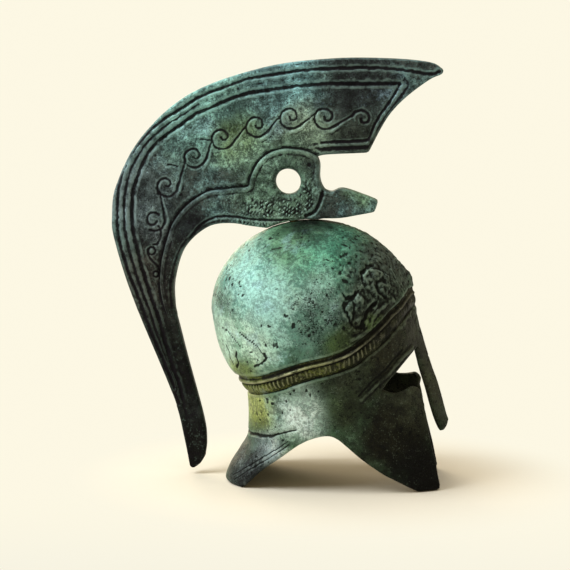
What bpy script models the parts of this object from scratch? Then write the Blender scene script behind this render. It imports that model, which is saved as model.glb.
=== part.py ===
"""A small cast-bronze Corinthian helmet with a tall swept-back crest.

The helmet stands on the tips of its cheek-pieces and on the rear edge of its neck guard. It faces +X,
Y = 0 is its plane of symmetry, and z = 0 is the surface that it stands on. Lengths are in metres.
"""

import math

import bmesh
import bpy
import numpy as np
from mathutils import Vector

# Skull and face
SKULL_HEIGHT = 0.0857
EQUATOR_HEIGHT = 0.0560
REACH_BACK = 0.0334
REACH_FRONT = 0.0330
HALF_WIDTH = 0.0264
WALL = 0.0019
RIDGE_DEPTH = 0.0026
RIDGE_HALF_WIDTH = 0.0053
NASAL_HALF_WIDTH = 0.0050

# Band and mouldings on the shell
BAND_WIDTH = 0.0046
BAND_PROUD = 0.0005
RIB_DEPTH = 0.0004
RIB_PITCH = 0.0019
BROW_MOULDING_WIDTH = 0.0017
BROW_MOULDING_PROUD = 0.0005
CURL_WIDTH = 0.0019
CURL_PROUD = 0.0007
SUNK = 0.0012

# Crest
CREST_LENGTH = 0.1080
CREST_ABOVE_SEAT = 0.0520
CREST_BACK = -0.0663
CREST_FOOT = 0.0020
CREST_THICKNESS = 0.0044
HOLDER_THICKNESS = 0.0056
RIM_WIDTH = 0.0009
RIM_PROUD = 0.0004
SCROLL_LINE = 0.0006
SCROLL_DEPTH = 0.0003
SCROLL_RADIUS = 0.0026
EYELET_RADIUS = 0.0041
EYELET_CHAMFER = 0.0010

# Pin that holds the crest
PIN_RADIUS = 0.0014
PIN_HEAD_RADIUS = 0.0030
PIN_HEAD_HEIGHT = 0.0012
PIN_IN_CREST = 0.0050
HEAD_DROP = 0.0014  # the dome slopes at the pin, so the head lies lower than the wall on the pin's axis
CLEARANCE = 0.0003

# Meshing
COLUMNS = 60
INNER_COLUMNS = 40
LOWER_RINGS = 14
DOME_RINGS = 8
INNER_LOWER_RINGS = 9
INNER_DOME_RINGS = 5
FRONT_CROWDING = 0.35

# The frame's origin lies midway between the crest's back and the front of the nasal.
NASAL_REACH = 1.348 * REACH_FRONT
FRAME_SHIFT = -(CREST_BACK + NASAL_REACH) / 2

# Level sections of the shell: height as a share of EQUATOR_HEIGHT, then back, front and half width as shares
# of REACH_BACK, REACH_FRONT and HALF_WIDTH, then the squareness of the back and of the front.
SECTIONS = (
    (0.00, 0.868, 1.515, 0.833, 2.70, 2.40),
    (0.07, 0.826, 1.485, 0.833, 2.60, 2.40),
    (0.17, 0.725, 1.424, 0.833, 2.35, 2.35),
    (0.27, 0.641, 1.364, 0.833, 2.10, 2.30),
    (0.39, 0.635, 1.273, 0.841, 2.00, 2.20),
    (0.53, 0.650, 1.200, 0.871, 2.00, 2.10),
    (0.59, 0.716, 1.170, 0.894, 2.00, 2.10),
    (0.68, 0.841, 1.121, 0.924, 2.00, 2.05),
    (0.83, 0.946, 1.058, 0.970, 2.00, 2.00),
    (1.00, 1.000, 1.000, 1.000, 2.00, 2.00),
)
BACK, FRONT, HALF, SQUARE_BACK, SQUARE_FRONT = range(1, 6)

# Ridge down the middle of the brow and nasal: height as a share of EQUATOR_HEIGHT, and share of RIDGE_DEPTH.
RIDGE = (
    (0.00, 0.00),
    (0.17, 0.38),
    (0.27, 0.69),
    (0.39, 0.92),
    (0.53, 1.00),
    (0.68, 0.88),
    (0.83, 0.65),
    (1.00, 0.38),
    (1.10, 0.38),
    (1.21, 0.69),
    (1.32, 0.20),
    (1.45, 0.00),
)

# Ribbed band: station along the shell (-1 at the back, 1 at the face), and share of EQUATOR_HEIGHT.
BAND = (
    (-1.00, 0.575),
    (-0.65, 0.610),
    (-0.35, 0.655),
    (-0.15, 0.694),
    (0.04, 0.730),
    (0.22, 0.760),
    (0.38, 0.798),
    (0.57, 0.875),
    (0.70, 0.936),
    (0.82, 1.000),
    (0.92, 1.050),
    (1.00, 1.095),
)

# Outlines in side view: forward as a share of REACH_FRONT, and up as a share of EQUATOR_HEIGHT.
ARCH = (
    (-0.66, -0.020),
    (-0.46, 0.102),
    (-0.26, 0.191),
    (-0.06, 0.282),
    (0.09, 0.321),
    (0.21, 0.332),
    (0.29, 0.316),
    (0.37, 0.277),
    (0.51, 0.204),
    (0.71, 0.118),
    (0.90, 0.054),
    (1.10, -0.010),
)
BROW_EDGE = (
    (0.73, 0.604),
    (0.79, 0.652),
    (0.86, 0.695),
    (0.93, 0.741),
    (1.01, 0.789),
    (1.08, 0.812),
)
CHEEK_FRONT = (
    (1.31, -0.040),
    (1.28, 0.059),
    (1.24, 0.173),
    (1.19, 0.289),
    (1.15, 0.400),
    (1.12, 0.502),
    (1.08, 0.580),
)
CHEEK_TOP = (
    (1.05, 0.595),
    (1.00, 0.605),
    (0.92, 0.586),
    (0.85, 0.579),
    (0.79, 0.586),
)
NASAL_TIP = (
    (1.358, 0.371),
    (1.342, 0.336),
    (1.312, 0.314),
    (1.280, 0.309),
    (1.240, 0.322),
    (1.190, 0.350),
)
BROW_MOULDING = (
    (0.53, 0.545),
    (0.63, 0.593),
    (0.72, 0.645),
    (0.82, 0.693),
    (0.89, 0.738),
    (0.97, 0.790),
    (1.05, 0.826),
)
# Temple curls: centre forward and up in the same shares, outer radius as a share of EQUATOR_HEIGHT, first
# angle and turn in degrees.
CURLS = (
    (0.70, 1.215, 0.085, 200, 430),
    (0.49, 1.060, 0.095, 60, -430),
)

# Crest outline: along as a share of CREST_LENGTH from its back, and up as a share of the crest's whole rise
# from the tip of its tail. At SEAT_SHARE it rests on the top of the dome.
SEAT_SHARE = 0.618
CREST_OUTER = (
    (0.998, 0.972),
    (0.958, 0.989),
    (0.840, 0.999),
    (0.663, 0.998),
    (0.460, 0.975),
    (0.243, 0.913),
    (0.095, 0.810),
    (0.017, 0.696),
    (0.000, 0.618),
    (0.008, 0.560),
    (0.061, 0.424),
    (0.161, 0.227),
    (0.197, 0.148),
    (0.219, 0.068),
    (0.235, 0.005),
)
CREST_INNER = (
    (0.246, 0.001),
    (0.281, 0.029),
    (0.287, 0.069),
    (0.278, 0.129),
    (0.232, 0.268),
    (0.191, 0.406),
    (0.192, 0.465),
    (0.223, 0.543),
    (0.294, 0.595),
    (0.362, 0.606),
    (0.425, 0.600),
    (0.462, 0.596),
)
HEAD_UNDER = (
    (0.645, 0.620),
    (0.700, 0.622),
    (0.755, 0.630),
    (0.799, 0.637),
)
HEAD_TOP = (
    (0.809, 0.663),
    (0.772, 0.675),
    (0.703, 0.692),
    (0.668, 0.684),
)
NOTCH = (
    (0.646, 0.692),
    (0.634, 0.715),
    (0.634, 0.750),
    (0.645, 0.768),
    (0.680, 0.773),
    (0.777, 0.775),
)
PLUME_FRONT = (
    (0.789, 0.793),
    (0.816, 0.835),
    (0.847, 0.873),
    (0.894, 0.911),
    (0.958, 0.949),
    (0.994, 0.962),
)
SEAT_FROM, SEAT_TO = 0.475, 0.630
HOLDER_UPPER = (
    (0.625, 0.640),
    (0.630, 0.689),
    (0.621, 0.724),
    (0.600, 0.769),
    (0.570, 0.781),
    (0.531, 0.785),
    (0.471, 0.768),
    (0.435, 0.730),
    (0.422, 0.692),
    (0.341, 0.686),
    (0.274, 0.671),
    (0.213, 0.630),
    (0.172, 0.564),
    (0.157, 0.490),
)
HOLDER_LOWER = (
    (0.183, 0.490),
    (0.213, 0.553),
    (0.288, 0.606),
    (0.362, 0.617),
    (0.430, 0.611),
    (0.500, 0.614),
    (0.600, 0.630),
)
RIM = (
    (0.915, 0.953),
    (0.783, 0.958),
    (0.665, 0.957),
    (0.516, 0.944),
    (0.426, 0.934),
    (0.351, 0.915),
    (0.237, 0.872),
    (0.145, 0.817),
    (0.085, 0.755),
    (0.048, 0.681),
    (0.042, 0.599),
    (0.061, 0.515),
    (0.110, 0.406),
    (0.147, 0.310),
)
FRONT_FRAME = (
    (0.880, 0.933),
    (0.857, 0.907),
    (0.828, 0.879),
    (0.807, 0.855),
    (0.790, 0.832),
    (0.775, 0.801),
    (0.695, 0.797),
    (0.636, 0.795),
)
# Centres of the running scroll's spirals, from the front to the back.
SCROLL = (
    (0.763, 0.857),
    (0.653, 0.861),
    (0.549, 0.861),
    (0.447, 0.841),
    (0.342, 0.812),
    (0.257, 0.767),
    (0.171, 0.697),
    (0.130, 0.614),
)
EYELET_CENTRE = (0.539, 0.707)
PIN_STATION = 0.555

# How far the cutters reach past the shell, in the shares of the outlines that they close.
PAST_FACE = 1.9
PAST_GROUND = -0.2
INSIDE_NASAL = 0.9
BROW_SLOPE = 0.03

# Materials: colour, roughness and metallic value.
SHELL_FINISH = ((0.13, 0.21, 0.15, 1.0), 0.55, 0.7)
CREST_FINISH = ((0.07, 0.13, 0.11, 1.0), 0.55, 0.7)
PIN_FINISH = ((0.20, 0.16, 0.09, 1.0), 0.50, 0.9)


def smooth_value(rows, column, at):
    """One column of a table at a station, on a curve through its rows that never overshoots them."""
    at = min(max(at, rows[0][0]), rows[-1][0])
    k = max(i for i in range(len(rows) - 1) if rows[i][0] <= at)

    def rise(i):
        return (rows[i + 1][column] - rows[i][column]) / (rows[i + 1][0] - rows[i][0])

    def slope(i):
        if i == 0 or i == len(rows) - 1:
            return rise(min(i, len(rows) - 2))
        before, after = rise(i - 1), rise(i)
        return 0.0 if before * after <= 0 else 2 * before * after / (before + after)

    width = rows[k + 1][0] - rows[k][0]
    s = (at - rows[k][0]) / width
    start, end = rows[k][column], rows[k + 1][column]
    return (
        start * (1 + 2 * s) * (1 - s) ** 2
        + end * s**2 * (3 - 2 * s)
        + width * (slope(k) * s * (1 - s) ** 2 - slope(k + 1) * s**2 * (1 - s))
    )


def smooth_path(knots, steps=3):
    """Points on a curve through all the knots, with steps points to each span."""
    knots = [Vector((*knot[:2], 0.0)) for knot in knots]
    ends = [2 * knots[0] - knots[1], *knots, 2 * knots[-1] - knots[-2]]
    points = []
    for a, b, c, d in zip(ends, ends[1:], ends[2:], ends[3:]):
        for step in range(steps):
            s = step / steps
            bend = a - b * 2.5 + c * 2 - d / 2
            twist = (b - c) * 1.5 + (d - a) / 2
            points.append(b + (c - a) * (s / 2) + bend * s**2 + twist * s**3)
    points.append(knots[-1])
    return [(point.x, point.y) for point in points]


def shell_sizes(height, inset=0.0):
    """Back, front, half width, both squarenesses and ridge of the shell's level section."""
    share = min(height / EQUATOR_HEIGHT, 1.0)
    back = smooth_value(SECTIONS, BACK, share) * REACH_BACK - inset
    front = smooth_value(SECTIONS, FRONT, share) * REACH_FRONT - inset
    half = smooth_value(SECTIONS, HALF, share) * HALF_WIDTH - inset
    ridge = smooth_value(RIDGE, 1, height / EQUATOR_HEIGHT) * RIDGE_DEPTH
    scale = 1.0
    if height > EQUATOR_HEIGHT:
        lift = (height - EQUATOR_HEIGHT) / (SKULL_HEIGHT - inset - EQUATOR_HEIGHT)
        scale = math.sqrt(max(0.0, 1 - lift**2))
    square_back = smooth_value(SECTIONS, SQUARE_BACK, share)
    square_front = smooth_value(SECTIONS, SQUARE_FRONT, share)
    return back * scale, front * scale, half * scale, square_back, square_front, ridge


def shell_point(turn, height, inset=0.0):
    """A point of the shell's surface. A turn of 0 is the middle of the face, and pi is the middle behind."""
    back, front, half, square_back, square_front, ridge = shell_sizes(height, inset)
    along, across = math.cos(turn), math.sin(turn)
    reach, square = (front, square_front) if along > 0 else (back, square_back)
    x = math.copysign(abs(along) ** (2 / square), along) * reach
    y = math.copysign(abs(across) ** (2 / square), across) * half
    if along > 0:
        x += ridge * max(0.0, 1 - abs(y) / RIDGE_HALF_WIDTH)
    return Vector((x, y, height))


def side_point(forward, height):
    """The point of the shell's near side that a side view shows at this place, on the -Y side."""
    back, front, half, square_back, square_front, _ = shell_sizes(height)
    reach, square = (front, square_front) if forward > 0 else (back, square_back)
    share = min(abs(forward) / reach, 0.999)
    return Vector((forward, -half * (1 - share**square) ** (1 / square), height))


def side_normal(forward, height):
    """The outward direction of the shell at side_point, from two short steps along the surface."""
    step = REACH_FRONT / 60
    along = side_point(forward + step, height) - side_point(forward - step, height)
    up = side_point(forward, height + step) - side_point(forward, height - step)
    return along.cross(up).normalized()


def add_prism(bm, outline, low, high):
    """A closed solid with this side-view outline, from y = low to y = high."""
    verts = [bm.verts.new((x, low, z)) for x, z in outline]
    face = bm.faces.new(verts)
    moved = bmesh.ops.extrude_face_region(bm, geom=[face])["geom"]
    far = [item for item in moved if isinstance(item, bmesh.types.BMVert)]
    bmesh.ops.translate(bm, verts=far, vec=(0.0, high - low, 0.0))


def add_tube(bm, rings, closed=False):
    """A closed solid through rings of equal numbers of points, capped unless it closes on itself."""
    rows = [[bm.verts.new(point) for point in ring] for ring in rings]
    pairs = list(zip(rows, rows[1:]))
    if closed:
        pairs.append((rows[-1], rows[0]))
    else:
        bm.faces.new(rows[0])
        bm.faces.new(rows[-1])
    for lower, upper in pairs:
        for i in range(len(lower)):
            j = (i + 1) % len(lower)
            bm.faces.new((lower[i], lower[j], upper[j], upper[i]))


def finish_object(name, bm, material=None, parent=None):
    """Turns a bmesh into an object whose faces point outward."""
    bmesh.ops.recalc_face_normals(bm, faces=bm.faces)
    mesh = bpy.data.meshes.new(name)
    bm.to_mesh(mesh)
    bm.free()
    mesh.shade_smooth()
    mesh.set_sharp_from_angle(angle=math.radians(35))
    obj = bpy.data.objects.new(name, mesh)
    bpy.context.scene.collection.objects.link(obj)
    if material:
        mesh.materials.append(material)
    obj.parent = parent
    return obj


def combine(target, tool, operation, crosses_itself=False):
    """Joins a hidden helper object to the target, or cuts it away."""
    tool.parent = target.parent
    tool.hide_render = True
    tool.display_type = "WIRE"
    modifier = target.modifiers.new(f"{operation.lower()} {tool.name}", "BOOLEAN")
    modifier.operation = operation
    modifier.solver = "EXACT"
    modifier.use_self = crosses_itself
    modifier.object = tool


def make_material(name, finish):
    colour, roughness, metallic = finish
    material = bpy.data.materials.new(name)
    material.use_nodes = True
    shader = material.node_tree.nodes["Principled BSDF"]
    shader.inputs["Base Color"].default_value = colour
    shader.inputs["Roughness"].default_value = roughness
    shader.inputs["Metallic"].default_value = metallic
    return material


def clear_scene():
    for obj in list(bpy.data.objects):
        bpy.data.objects.remove(obj)


def shell_rings(lower_heights, dome_rings, columns, inset=0.0):
    """Rings of the shell from the given heights up to the equator, then up the dome in equal angles."""
    top = SKULL_HEIGHT - inset - EQUATOR_HEIGHT
    angles = [math.radians(87) * k / dome_rings for k in range(1, dome_rings + 1)]
    heights = [*lower_heights, *(EQUATOR_HEIGHT + top * math.sin(angle) for angle in angles)]
    evenly = [2 * math.pi * i / columns for i in range(columns)]
    turns = [turn - FRONT_CROWDING * math.sin(turn) for turn in evenly]
    return [[shell_point(turn, height, inset) for turn in turns] for height in heights]


def make_ribbed_band():
    """The band round the skull: two plain edges, with a row of upright ribs between them."""
    bm = bmesh.new()
    girth = math.pi * (REACH_BACK + HALF_WIDTH)
    ribs = round(girth / RIB_PITCH)
    rings = []
    for i in range(2 * ribs):
        even = 2 * math.pi * i / (2 * ribs)
        turn = even - FRONT_CROWDING / 2 * math.sin(even)
        middle = smooth_value(BAND, 1, math.cos(turn)) * EQUATOR_HEIGHT
        low, high = middle - BAND_WIDTH / 2, middle + BAND_WIDTH / 2
        proud = BAND_PROUD + RIB_DEPTH * (i % 2)
        depths = ((low, -SUNK), (low, proud), (high, proud), (high, -SUNK))
        ring = []
        for height, out in depths:
            point = shell_point(turn, height)
            outward = Vector((point.x / REACH_FRONT**2, point.y / HALF_WIDTH**2, 0.0)).normalized()
            ring.append(point + outward * out)
        rings.append(ring)
    add_tube(bm, rings, closed=True)
    return finish_object("ribbed_band", bm)


def add_side_moulding(bm, path, width, proud, taper=0.0):
    """A raised strip that follows a side-view path over the shell, on both sides of the helmet."""
    places = [(forward * REACH_FRONT, up * EQUATOR_HEIGHT) for forward, up in path]
    rings = []
    for i, (forward, height) in enumerate(places):
        point = side_point(forward, height)
        before = side_point(*places[max(i - 1, 0)])
        after = side_point(*places[min(i + 1, len(places) - 1)])
        normal = side_normal(forward, height)
        across = (after - before).normalized().cross(normal) * (width / 2)
        across *= 1 - taper * i / (len(places) - 1)
        rings.append([
            point - across - normal * SUNK,
            point - across * 0.8 + normal * proud,
            point + across * 0.8 + normal * proud,
            point + across - normal * SUNK,
        ])
    add_tube(bm, rings)
    add_tube(bm, [[Vector((p.x, -p.y, p.z)) for p in ring] for ring in rings])


def curl_path(curl, points=11):
    """A spiral that winds in to a third of its radius: points forward and up in shares."""
    forward, up, radius, first, turn = curl
    path = []
    for k in range(points):
        s = k / (points - 1)
        angle = math.radians(first + turn * s)
        reach = radius * (1 - 0.70 * s)
        ahead = reach * math.cos(angle) * EQUATOR_HEIGHT / REACH_FRONT
        path.append((forward + ahead, up + reach * math.sin(angle)))
    return path


def make_mouldings():
    bm = bmesh.new()
    add_side_moulding(bm, smooth_path(BROW_MOULDING, 2), BROW_MOULDING_WIDTH, BROW_MOULDING_PROUD)
    brow = finish_object("brow_mouldings", bm)
    bm = bmesh.new()
    for curl in CURLS:
        add_side_moulding(bm, curl_path(curl), CURL_WIDTH, CURL_PROUD, taper=0.4)
    return brow, finish_object("temple_curls", bm)


def side_outline(shares):
    return [(forward * REACH_FRONT, up * EQUATOR_HEIGHT) for forward, up in shares]


def make_hollow():
    """The inside of the shell, one wall thickness in from its outside, open below."""
    bm = bmesh.new()
    heights = [-WALL, *np.linspace(0.0, EQUATOR_HEIGHT, INNER_LOWER_RINGS)]
    add_tube(bm, shell_rings(heights, INNER_DOME_RINGS, INNER_COLUMNS, WALL))
    return finish_object("hollow", bm)


def make_openings():
    """The cutters of the side arches, of both eyes with the face slit, and of the end of the nasal."""
    far = 2 * HALF_WIDTH
    bm = bmesh.new()
    arch = smooth_path(ARCH) + [(ARCH[-1][0], PAST_GROUND), (ARCH[0][0], PAST_GROUND)]
    add_prism(bm, side_outline(arch), -far, far)
    arches = finish_object("side_arches", bm)

    bm = bmesh.new()
    face = [*smooth_path(BROW_EDGE), (PAST_FACE, BROW_EDGE[-1][1] + BROW_SLOPE), (PAST_FACE, PAST_GROUND)]
    face += [(CHEEK_FRONT[0][0], PAST_GROUND), *smooth_path(CHEEK_FRONT), *smooth_path(CHEEK_TOP)]
    add_prism(bm, side_outline(face), NASAL_HALF_WIDTH, far)
    add_prism(bm, side_outline(face), -far, -NASAL_HALF_WIDTH)
    eyes = finish_object("eye_openings", bm)

    bm = bmesh.new()
    tip = [(PAST_FACE, NASAL_TIP[0][1]), *smooth_path(NASAL_TIP, 2), (INSIDE_NASAL, NASAL_TIP[-1][1])]
    tip += [(INSIDE_NASAL, PAST_GROUND), (PAST_FACE, PAST_GROUND)]
    add_prism(bm, side_outline(tip), -1.2 * NASAL_HALF_WIDTH, 1.2 * NASAL_HALF_WIDTH)
    return arches, eyes, finish_object("nasal_end", bm)


def add_round(bm, x, stations, sides=20):
    """A closed turned solid that stands along Z at this x, through stations of height and radius."""
    angles = [2 * math.pi * k / sides for k in range(sides)]
    rings = []
    for z, radius in stations:
        rings.append([Vector((x + radius * math.cos(a), radius * math.sin(a), z)) for a in angles])
    add_tube(bm, rings)


def dome_height(x, inset=0.0):
    """Height of the dome's outside, or of its inside, in the plane of symmetry."""
    reach = (REACH_FRONT if x > 0 else REACH_BACK) - inset
    return EQUATOR_HEIGHT + (SKULL_HEIGHT - inset - EQUATOR_HEIGHT) * math.sqrt(1 - (x / reach) ** 2)


def make_shell(parent):
    bm = bmesh.new()
    heights = np.linspace(0.0, EQUATOR_HEIGHT, LOWER_RINGS)
    add_tube(bm, shell_rings(heights, DOME_RINGS, COLUMNS))
    shell = finish_object("helmet_shell", bm, make_material("aged bronze", SHELL_FINISH), parent)
    combine(shell, make_ribbed_band(), "UNION")
    for moulding in make_mouldings():
        combine(shell, moulding, "UNION")
    combine(shell, make_hollow(), "DIFFERENCE")
    for opening in make_openings():
        combine(shell, opening, "DIFFERENCE")
    bm = bmesh.new()
    radius = PIN_RADIUS + CLEARANCE
    add_round(bm, pin_x(), ((EQUATOR_HEIGHT, radius), (SKULL_HEIGHT + WALL, radius)))
    combine(shell, finish_object("pin_hole", bm), "DIFFERENCE")
    return shell


def crest_place(along, up):
    """A side-view place on the crest. Heights are taken from its seat, up to its top or down to its foot."""
    seat = SKULL_HEIGHT + CLEARANCE
    above = up - SEAT_SHARE
    reach = CREST_ABOVE_SEAT / (1 - SEAT_SHARE) if above > 0 else (seat - CREST_FOOT) / SEAT_SHARE
    return CREST_BACK + along * CREST_LENGTH, seat + above * reach


def pin_x():
    return crest_place(PIN_STATION, 0.0)[0]


def seat_points(steps=8):
    """The crest's underside where it sits on the dome, one clearance above it."""
    stations = [SEAT_FROM + (SEAT_TO - SEAT_FROM) * k / steps for k in range(steps + 1)]
    places = [crest_place(station, 0.0)[0] for station in stations]
    return [(x, dome_height(x) + CLEARANCE) for x in places]


def crest_outline():
    outline = [crest_place(*knot) for knot in smooth_path(CREST_OUTER) + smooth_path(CREST_INNER)]
    outline += seat_points()
    for run in (HEAD_UNDER, HEAD_TOP, NOTCH, PLUME_FRONT):
        outline += [crest_place(*knot) for knot in smooth_path(run, 2)]
    return outline


def add_ribbon(bm, path, width, low, high):
    """A flat strip of even width along a side-view path, from y = low to y = high."""
    path = [Vector((x, z)) for x, z in path]
    left, right = [], []
    for i, point in enumerate(path):
        along = (path[min(i + 1, len(path) - 1)] - path[max(i - 1, 0)]).normalized()
        across = Vector((-along.y, along.x)) * (width / 2)
        left.append(point + across)
        right.append(point - across)
    rings = []
    for a, b in zip(left, right):
        rings.append([(a.x, low, a.y), (b.x, low, b.y), (b.x, high, b.y), (a.x, high, a.y)])
    add_tube(bm, rings)


def scroll_unit(centre, ahead):
    """One wave of the running scroll: under the spiral, up to the cusp, over the top and in."""
    along = (ahead - centre).normalized()
    out = Vector((-along.y, along.x))

    def place(reach, degrees):
        angle = math.radians(degrees)
        return centre + (along * math.cos(angle) + out * math.sin(angle)) * (reach * SCROLL_RADIUS)

    under = [place(reach, degrees) for reach, degrees in ((2.6, 8), (1.9, -8), (1.35, -35), (1.2, -75))]
    under += [place(reach, degrees) for reach, degrees in ((1.25, -125), (1.5, -165), (1.8, -205))]
    winding = [(1.25 - 0.75 * k / 10, 135 - 42 * k) for k in range(11)]
    spiral = [place(1.8, 155)] + [place(reach, degrees) for reach, degrees in winding]
    return under, spiral


def make_crest(parent):
    bm = bmesh.new()
    half = CREST_THICKNESS / 2
    add_prism(bm, crest_outline(), -half, half)
    crest = finish_object("crest", bm, make_material("dark bronze", CREST_FINISH), parent)

    bm = bmesh.new()
    holder = smooth_path(HOLDER_UPPER, 2) + smooth_path(HOLDER_LOWER, 2)
    add_prism(bm, [crest_place(*knot) for knot in holder], -HOLDER_THICKNESS / 2, HOLDER_THICKNESS / 2)
    combine(crest, finish_object("crest_holder", bm), "UNION")

    bm = bmesh.new()
    for knots in (RIM, FRONT_FRAME):
        path = [crest_place(*knot) for knot in smooth_path(knots, 2)]
        add_ribbon(bm, path, RIM_WIDTH, -half - RIM_PROUD, half + RIM_PROUD)
    combine(crest, finish_object("crest_rims", bm), "UNION")

    bm = bmesh.new()
    centres = [Vector(crest_place(*knot)) for knot in SCROLL]
    ahead = [2 * centres[0] - centres[1], *centres]
    for centre, next_centre in zip(centres, ahead):
        for path in scroll_unit(centre, next_centre):
            add_ribbon(bm, path, SCROLL_LINE, half - SCROLL_DEPTH, half + WALL)
            add_ribbon(bm, path, SCROLL_LINE, -half - WALL, -half + SCROLL_DEPTH)
    combine(crest, finish_object("scroll_lines", bm), "DIFFERENCE", crosses_itself=True)

    x, z = crest_place(*EYELET_CENTRE)
    sides, deep = 28, HOLDER_THICKNESS / 2
    flare = EYELET_RADIUS + EYELET_CHAMFER
    bm = bmesh.new()
    stations = ((-2 * deep, flare + deep), (-deep, flare), (EYELET_CHAMFER - deep, EYELET_RADIUS))
    stations += ((deep - EYELET_CHAMFER, EYELET_RADIUS), (deep, flare), (2 * deep, flare + deep))
    rings = []
    for y, radius in stations:
        angles = [2 * math.pi * k / sides for k in range(sides)]
        rings.append([Vector((x + radius * math.cos(a), y, z + radius * math.sin(a))) for a in angles])
    add_tube(bm, rings)
    combine(crest, finish_object("eyelet", bm), "DIFFERENCE")

    bm = bmesh.new()
    pocket_top = dome_height(pin_x()) + PIN_IN_CREST + 2 * CLEARANCE
    radius = PIN_RADIUS + CLEARANCE
    add_round(bm, pin_x(), ((EQUATOR_HEIGHT, radius), (pocket_top, radius)))
    combine(crest, finish_object("pin_pocket", bm), "DIFFERENCE")
    return crest


def make_pin(parent):
    """The headed pin that holds the crest down, with its head inside the skull."""
    bm = bmesh.new()
    under_wall = dome_height(pin_x(), WALL) - HEAD_DROP
    top = dome_height(pin_x()) + PIN_IN_CREST
    stations = (
        (under_wall - PIN_HEAD_HEIGHT, PIN_HEAD_RADIUS),
        (under_wall, PIN_HEAD_RADIUS),
        (under_wall, PIN_RADIUS),
        (top, PIN_RADIUS),
    )
    add_round(bm, 0.0, stations)
    pin = finish_object("crest_pin", bm, make_material("pin bronze", PIN_FINISH), parent)
    pin.location.x = pin_x()
    return pin


def main():
    clear_scene()
    frame = bpy.data.objects.new("helmet", None)
    frame.location.x = FRAME_SHIFT
    bpy.context.scene.collection.objects.link(frame)
    make_shell(frame)
    make_crest(frame)
    make_pin(frame)


main()
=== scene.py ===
"""Looks of a small cast-bronze Corinthian helmet with a tall swept-back crest.

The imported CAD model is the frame. Finer surfaces of the same forms stand for the shell and the crest, and the
pin keeps its CAD solid. Shapes are worked out in millimetres from the helmet's own axis: the face looks
along +X, Y = 0 is the plane of symmetry, and z = 0 is the surface that the helmet stands on.
"""

import itertools

import bpy
import numpy as np
from mathutils import Matrix, Vector


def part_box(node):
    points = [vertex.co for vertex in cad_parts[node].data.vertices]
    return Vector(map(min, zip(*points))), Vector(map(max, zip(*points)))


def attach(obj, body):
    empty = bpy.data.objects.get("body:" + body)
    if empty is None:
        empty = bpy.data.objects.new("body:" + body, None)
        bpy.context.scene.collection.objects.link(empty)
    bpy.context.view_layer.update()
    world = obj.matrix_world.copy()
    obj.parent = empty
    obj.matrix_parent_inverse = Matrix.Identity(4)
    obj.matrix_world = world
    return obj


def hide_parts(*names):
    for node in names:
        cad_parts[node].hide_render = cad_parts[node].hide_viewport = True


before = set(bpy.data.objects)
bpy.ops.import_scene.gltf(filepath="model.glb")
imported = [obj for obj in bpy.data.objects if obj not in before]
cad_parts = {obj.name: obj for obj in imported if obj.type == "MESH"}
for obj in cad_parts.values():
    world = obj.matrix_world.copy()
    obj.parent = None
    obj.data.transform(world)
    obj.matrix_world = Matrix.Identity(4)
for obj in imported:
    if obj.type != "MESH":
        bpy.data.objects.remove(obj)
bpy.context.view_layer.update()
MM = 0.001

# Skull and face, as in the CAD model
SKULL_HEIGHT = 85.7
EQUATOR_HEIGHT = 56.0
REACH_BACK = 33.4
REACH_FRONT = 33.0
HALF_WIDTH = 26.4
WALL = 1.9
RIDGE_DEPTH = 2.6
RIDGE_HALF_WIDTH = 5.3
NASAL_HALF_WIDTH = 5.0

# Crest, as in the CAD model
CREST_LENGTH = 108.0
CREST_ABOVE_SEAT = 52.0
CREST_BACK = -66.3
CREST_FOOT = 2.0
CREST_THICKNESS = 4.4
HOLDER_THICKNESS = 5.6
SEAT_SHARE = 0.618
SCROLL_RADIUS = 2.6
EYELET_RADIUS = 4.1
EYELET_ROUND = 1.6
CLEARANCE = 0.3

AXIS_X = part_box("crest")[0].x / MM - CREST_BACK

# Level sections of the shell: height as a share of EQUATOR_HEIGHT, then back, front and half width as shares
# of REACH_BACK, REACH_FRONT and HALF_WIDTH, then the squareness of the back and of the front.
SECTIONS = (
    (0.00, 0.868, 1.515, 0.833, 2.70, 2.40),
    (0.07, 0.826, 1.485, 0.833, 2.60, 2.40),
    (0.17, 0.725, 1.424, 0.833, 2.35, 2.35),
    (0.27, 0.641, 1.364, 0.833, 2.10, 2.30),
    (0.39, 0.635, 1.273, 0.841, 2.00, 2.20),
    (0.53, 0.650, 1.200, 0.871, 2.00, 2.10),
    (0.59, 0.716, 1.170, 0.894, 2.00, 2.10),
    (0.68, 0.841, 1.121, 0.924, 2.00, 2.05),
    (0.83, 0.946, 1.058, 0.970, 2.00, 2.00),
    (1.00, 1.000, 1.000, 1.000, 2.00, 2.00),
)
BACK, FRONT, HALF, SQUARE_BACK, SQUARE_FRONT = range(1, 6)

# Ridge down the middle of the brow and nasal: height as a share of EQUATOR_HEIGHT, and share of RIDGE_DEPTH.
RIDGE = (
    (0.00, 0.00), (0.17, 0.38), (0.27, 0.69), (0.39, 0.92), (0.53, 1.00), (0.68, 0.88),
    (0.83, 0.65), (1.00, 0.38), (1.10, 0.38), (1.21, 0.69), (1.32, 0.20), (1.45, 0.00),
)

# Middle of the ribbed band: station along the shell (-1 at the back, 1 at the face), and share of
# EQUATOR_HEIGHT.
BAND = (
    (-1.00, 0.575), (-0.65, 0.610), (-0.35, 0.655), (-0.15, 0.694), (0.04, 0.730), (0.22, 0.760),
    (0.38, 0.798), (0.57, 0.875), (0.70, 0.936), (0.82, 1.000), (0.92, 1.050), (1.00, 1.095),
)

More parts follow.
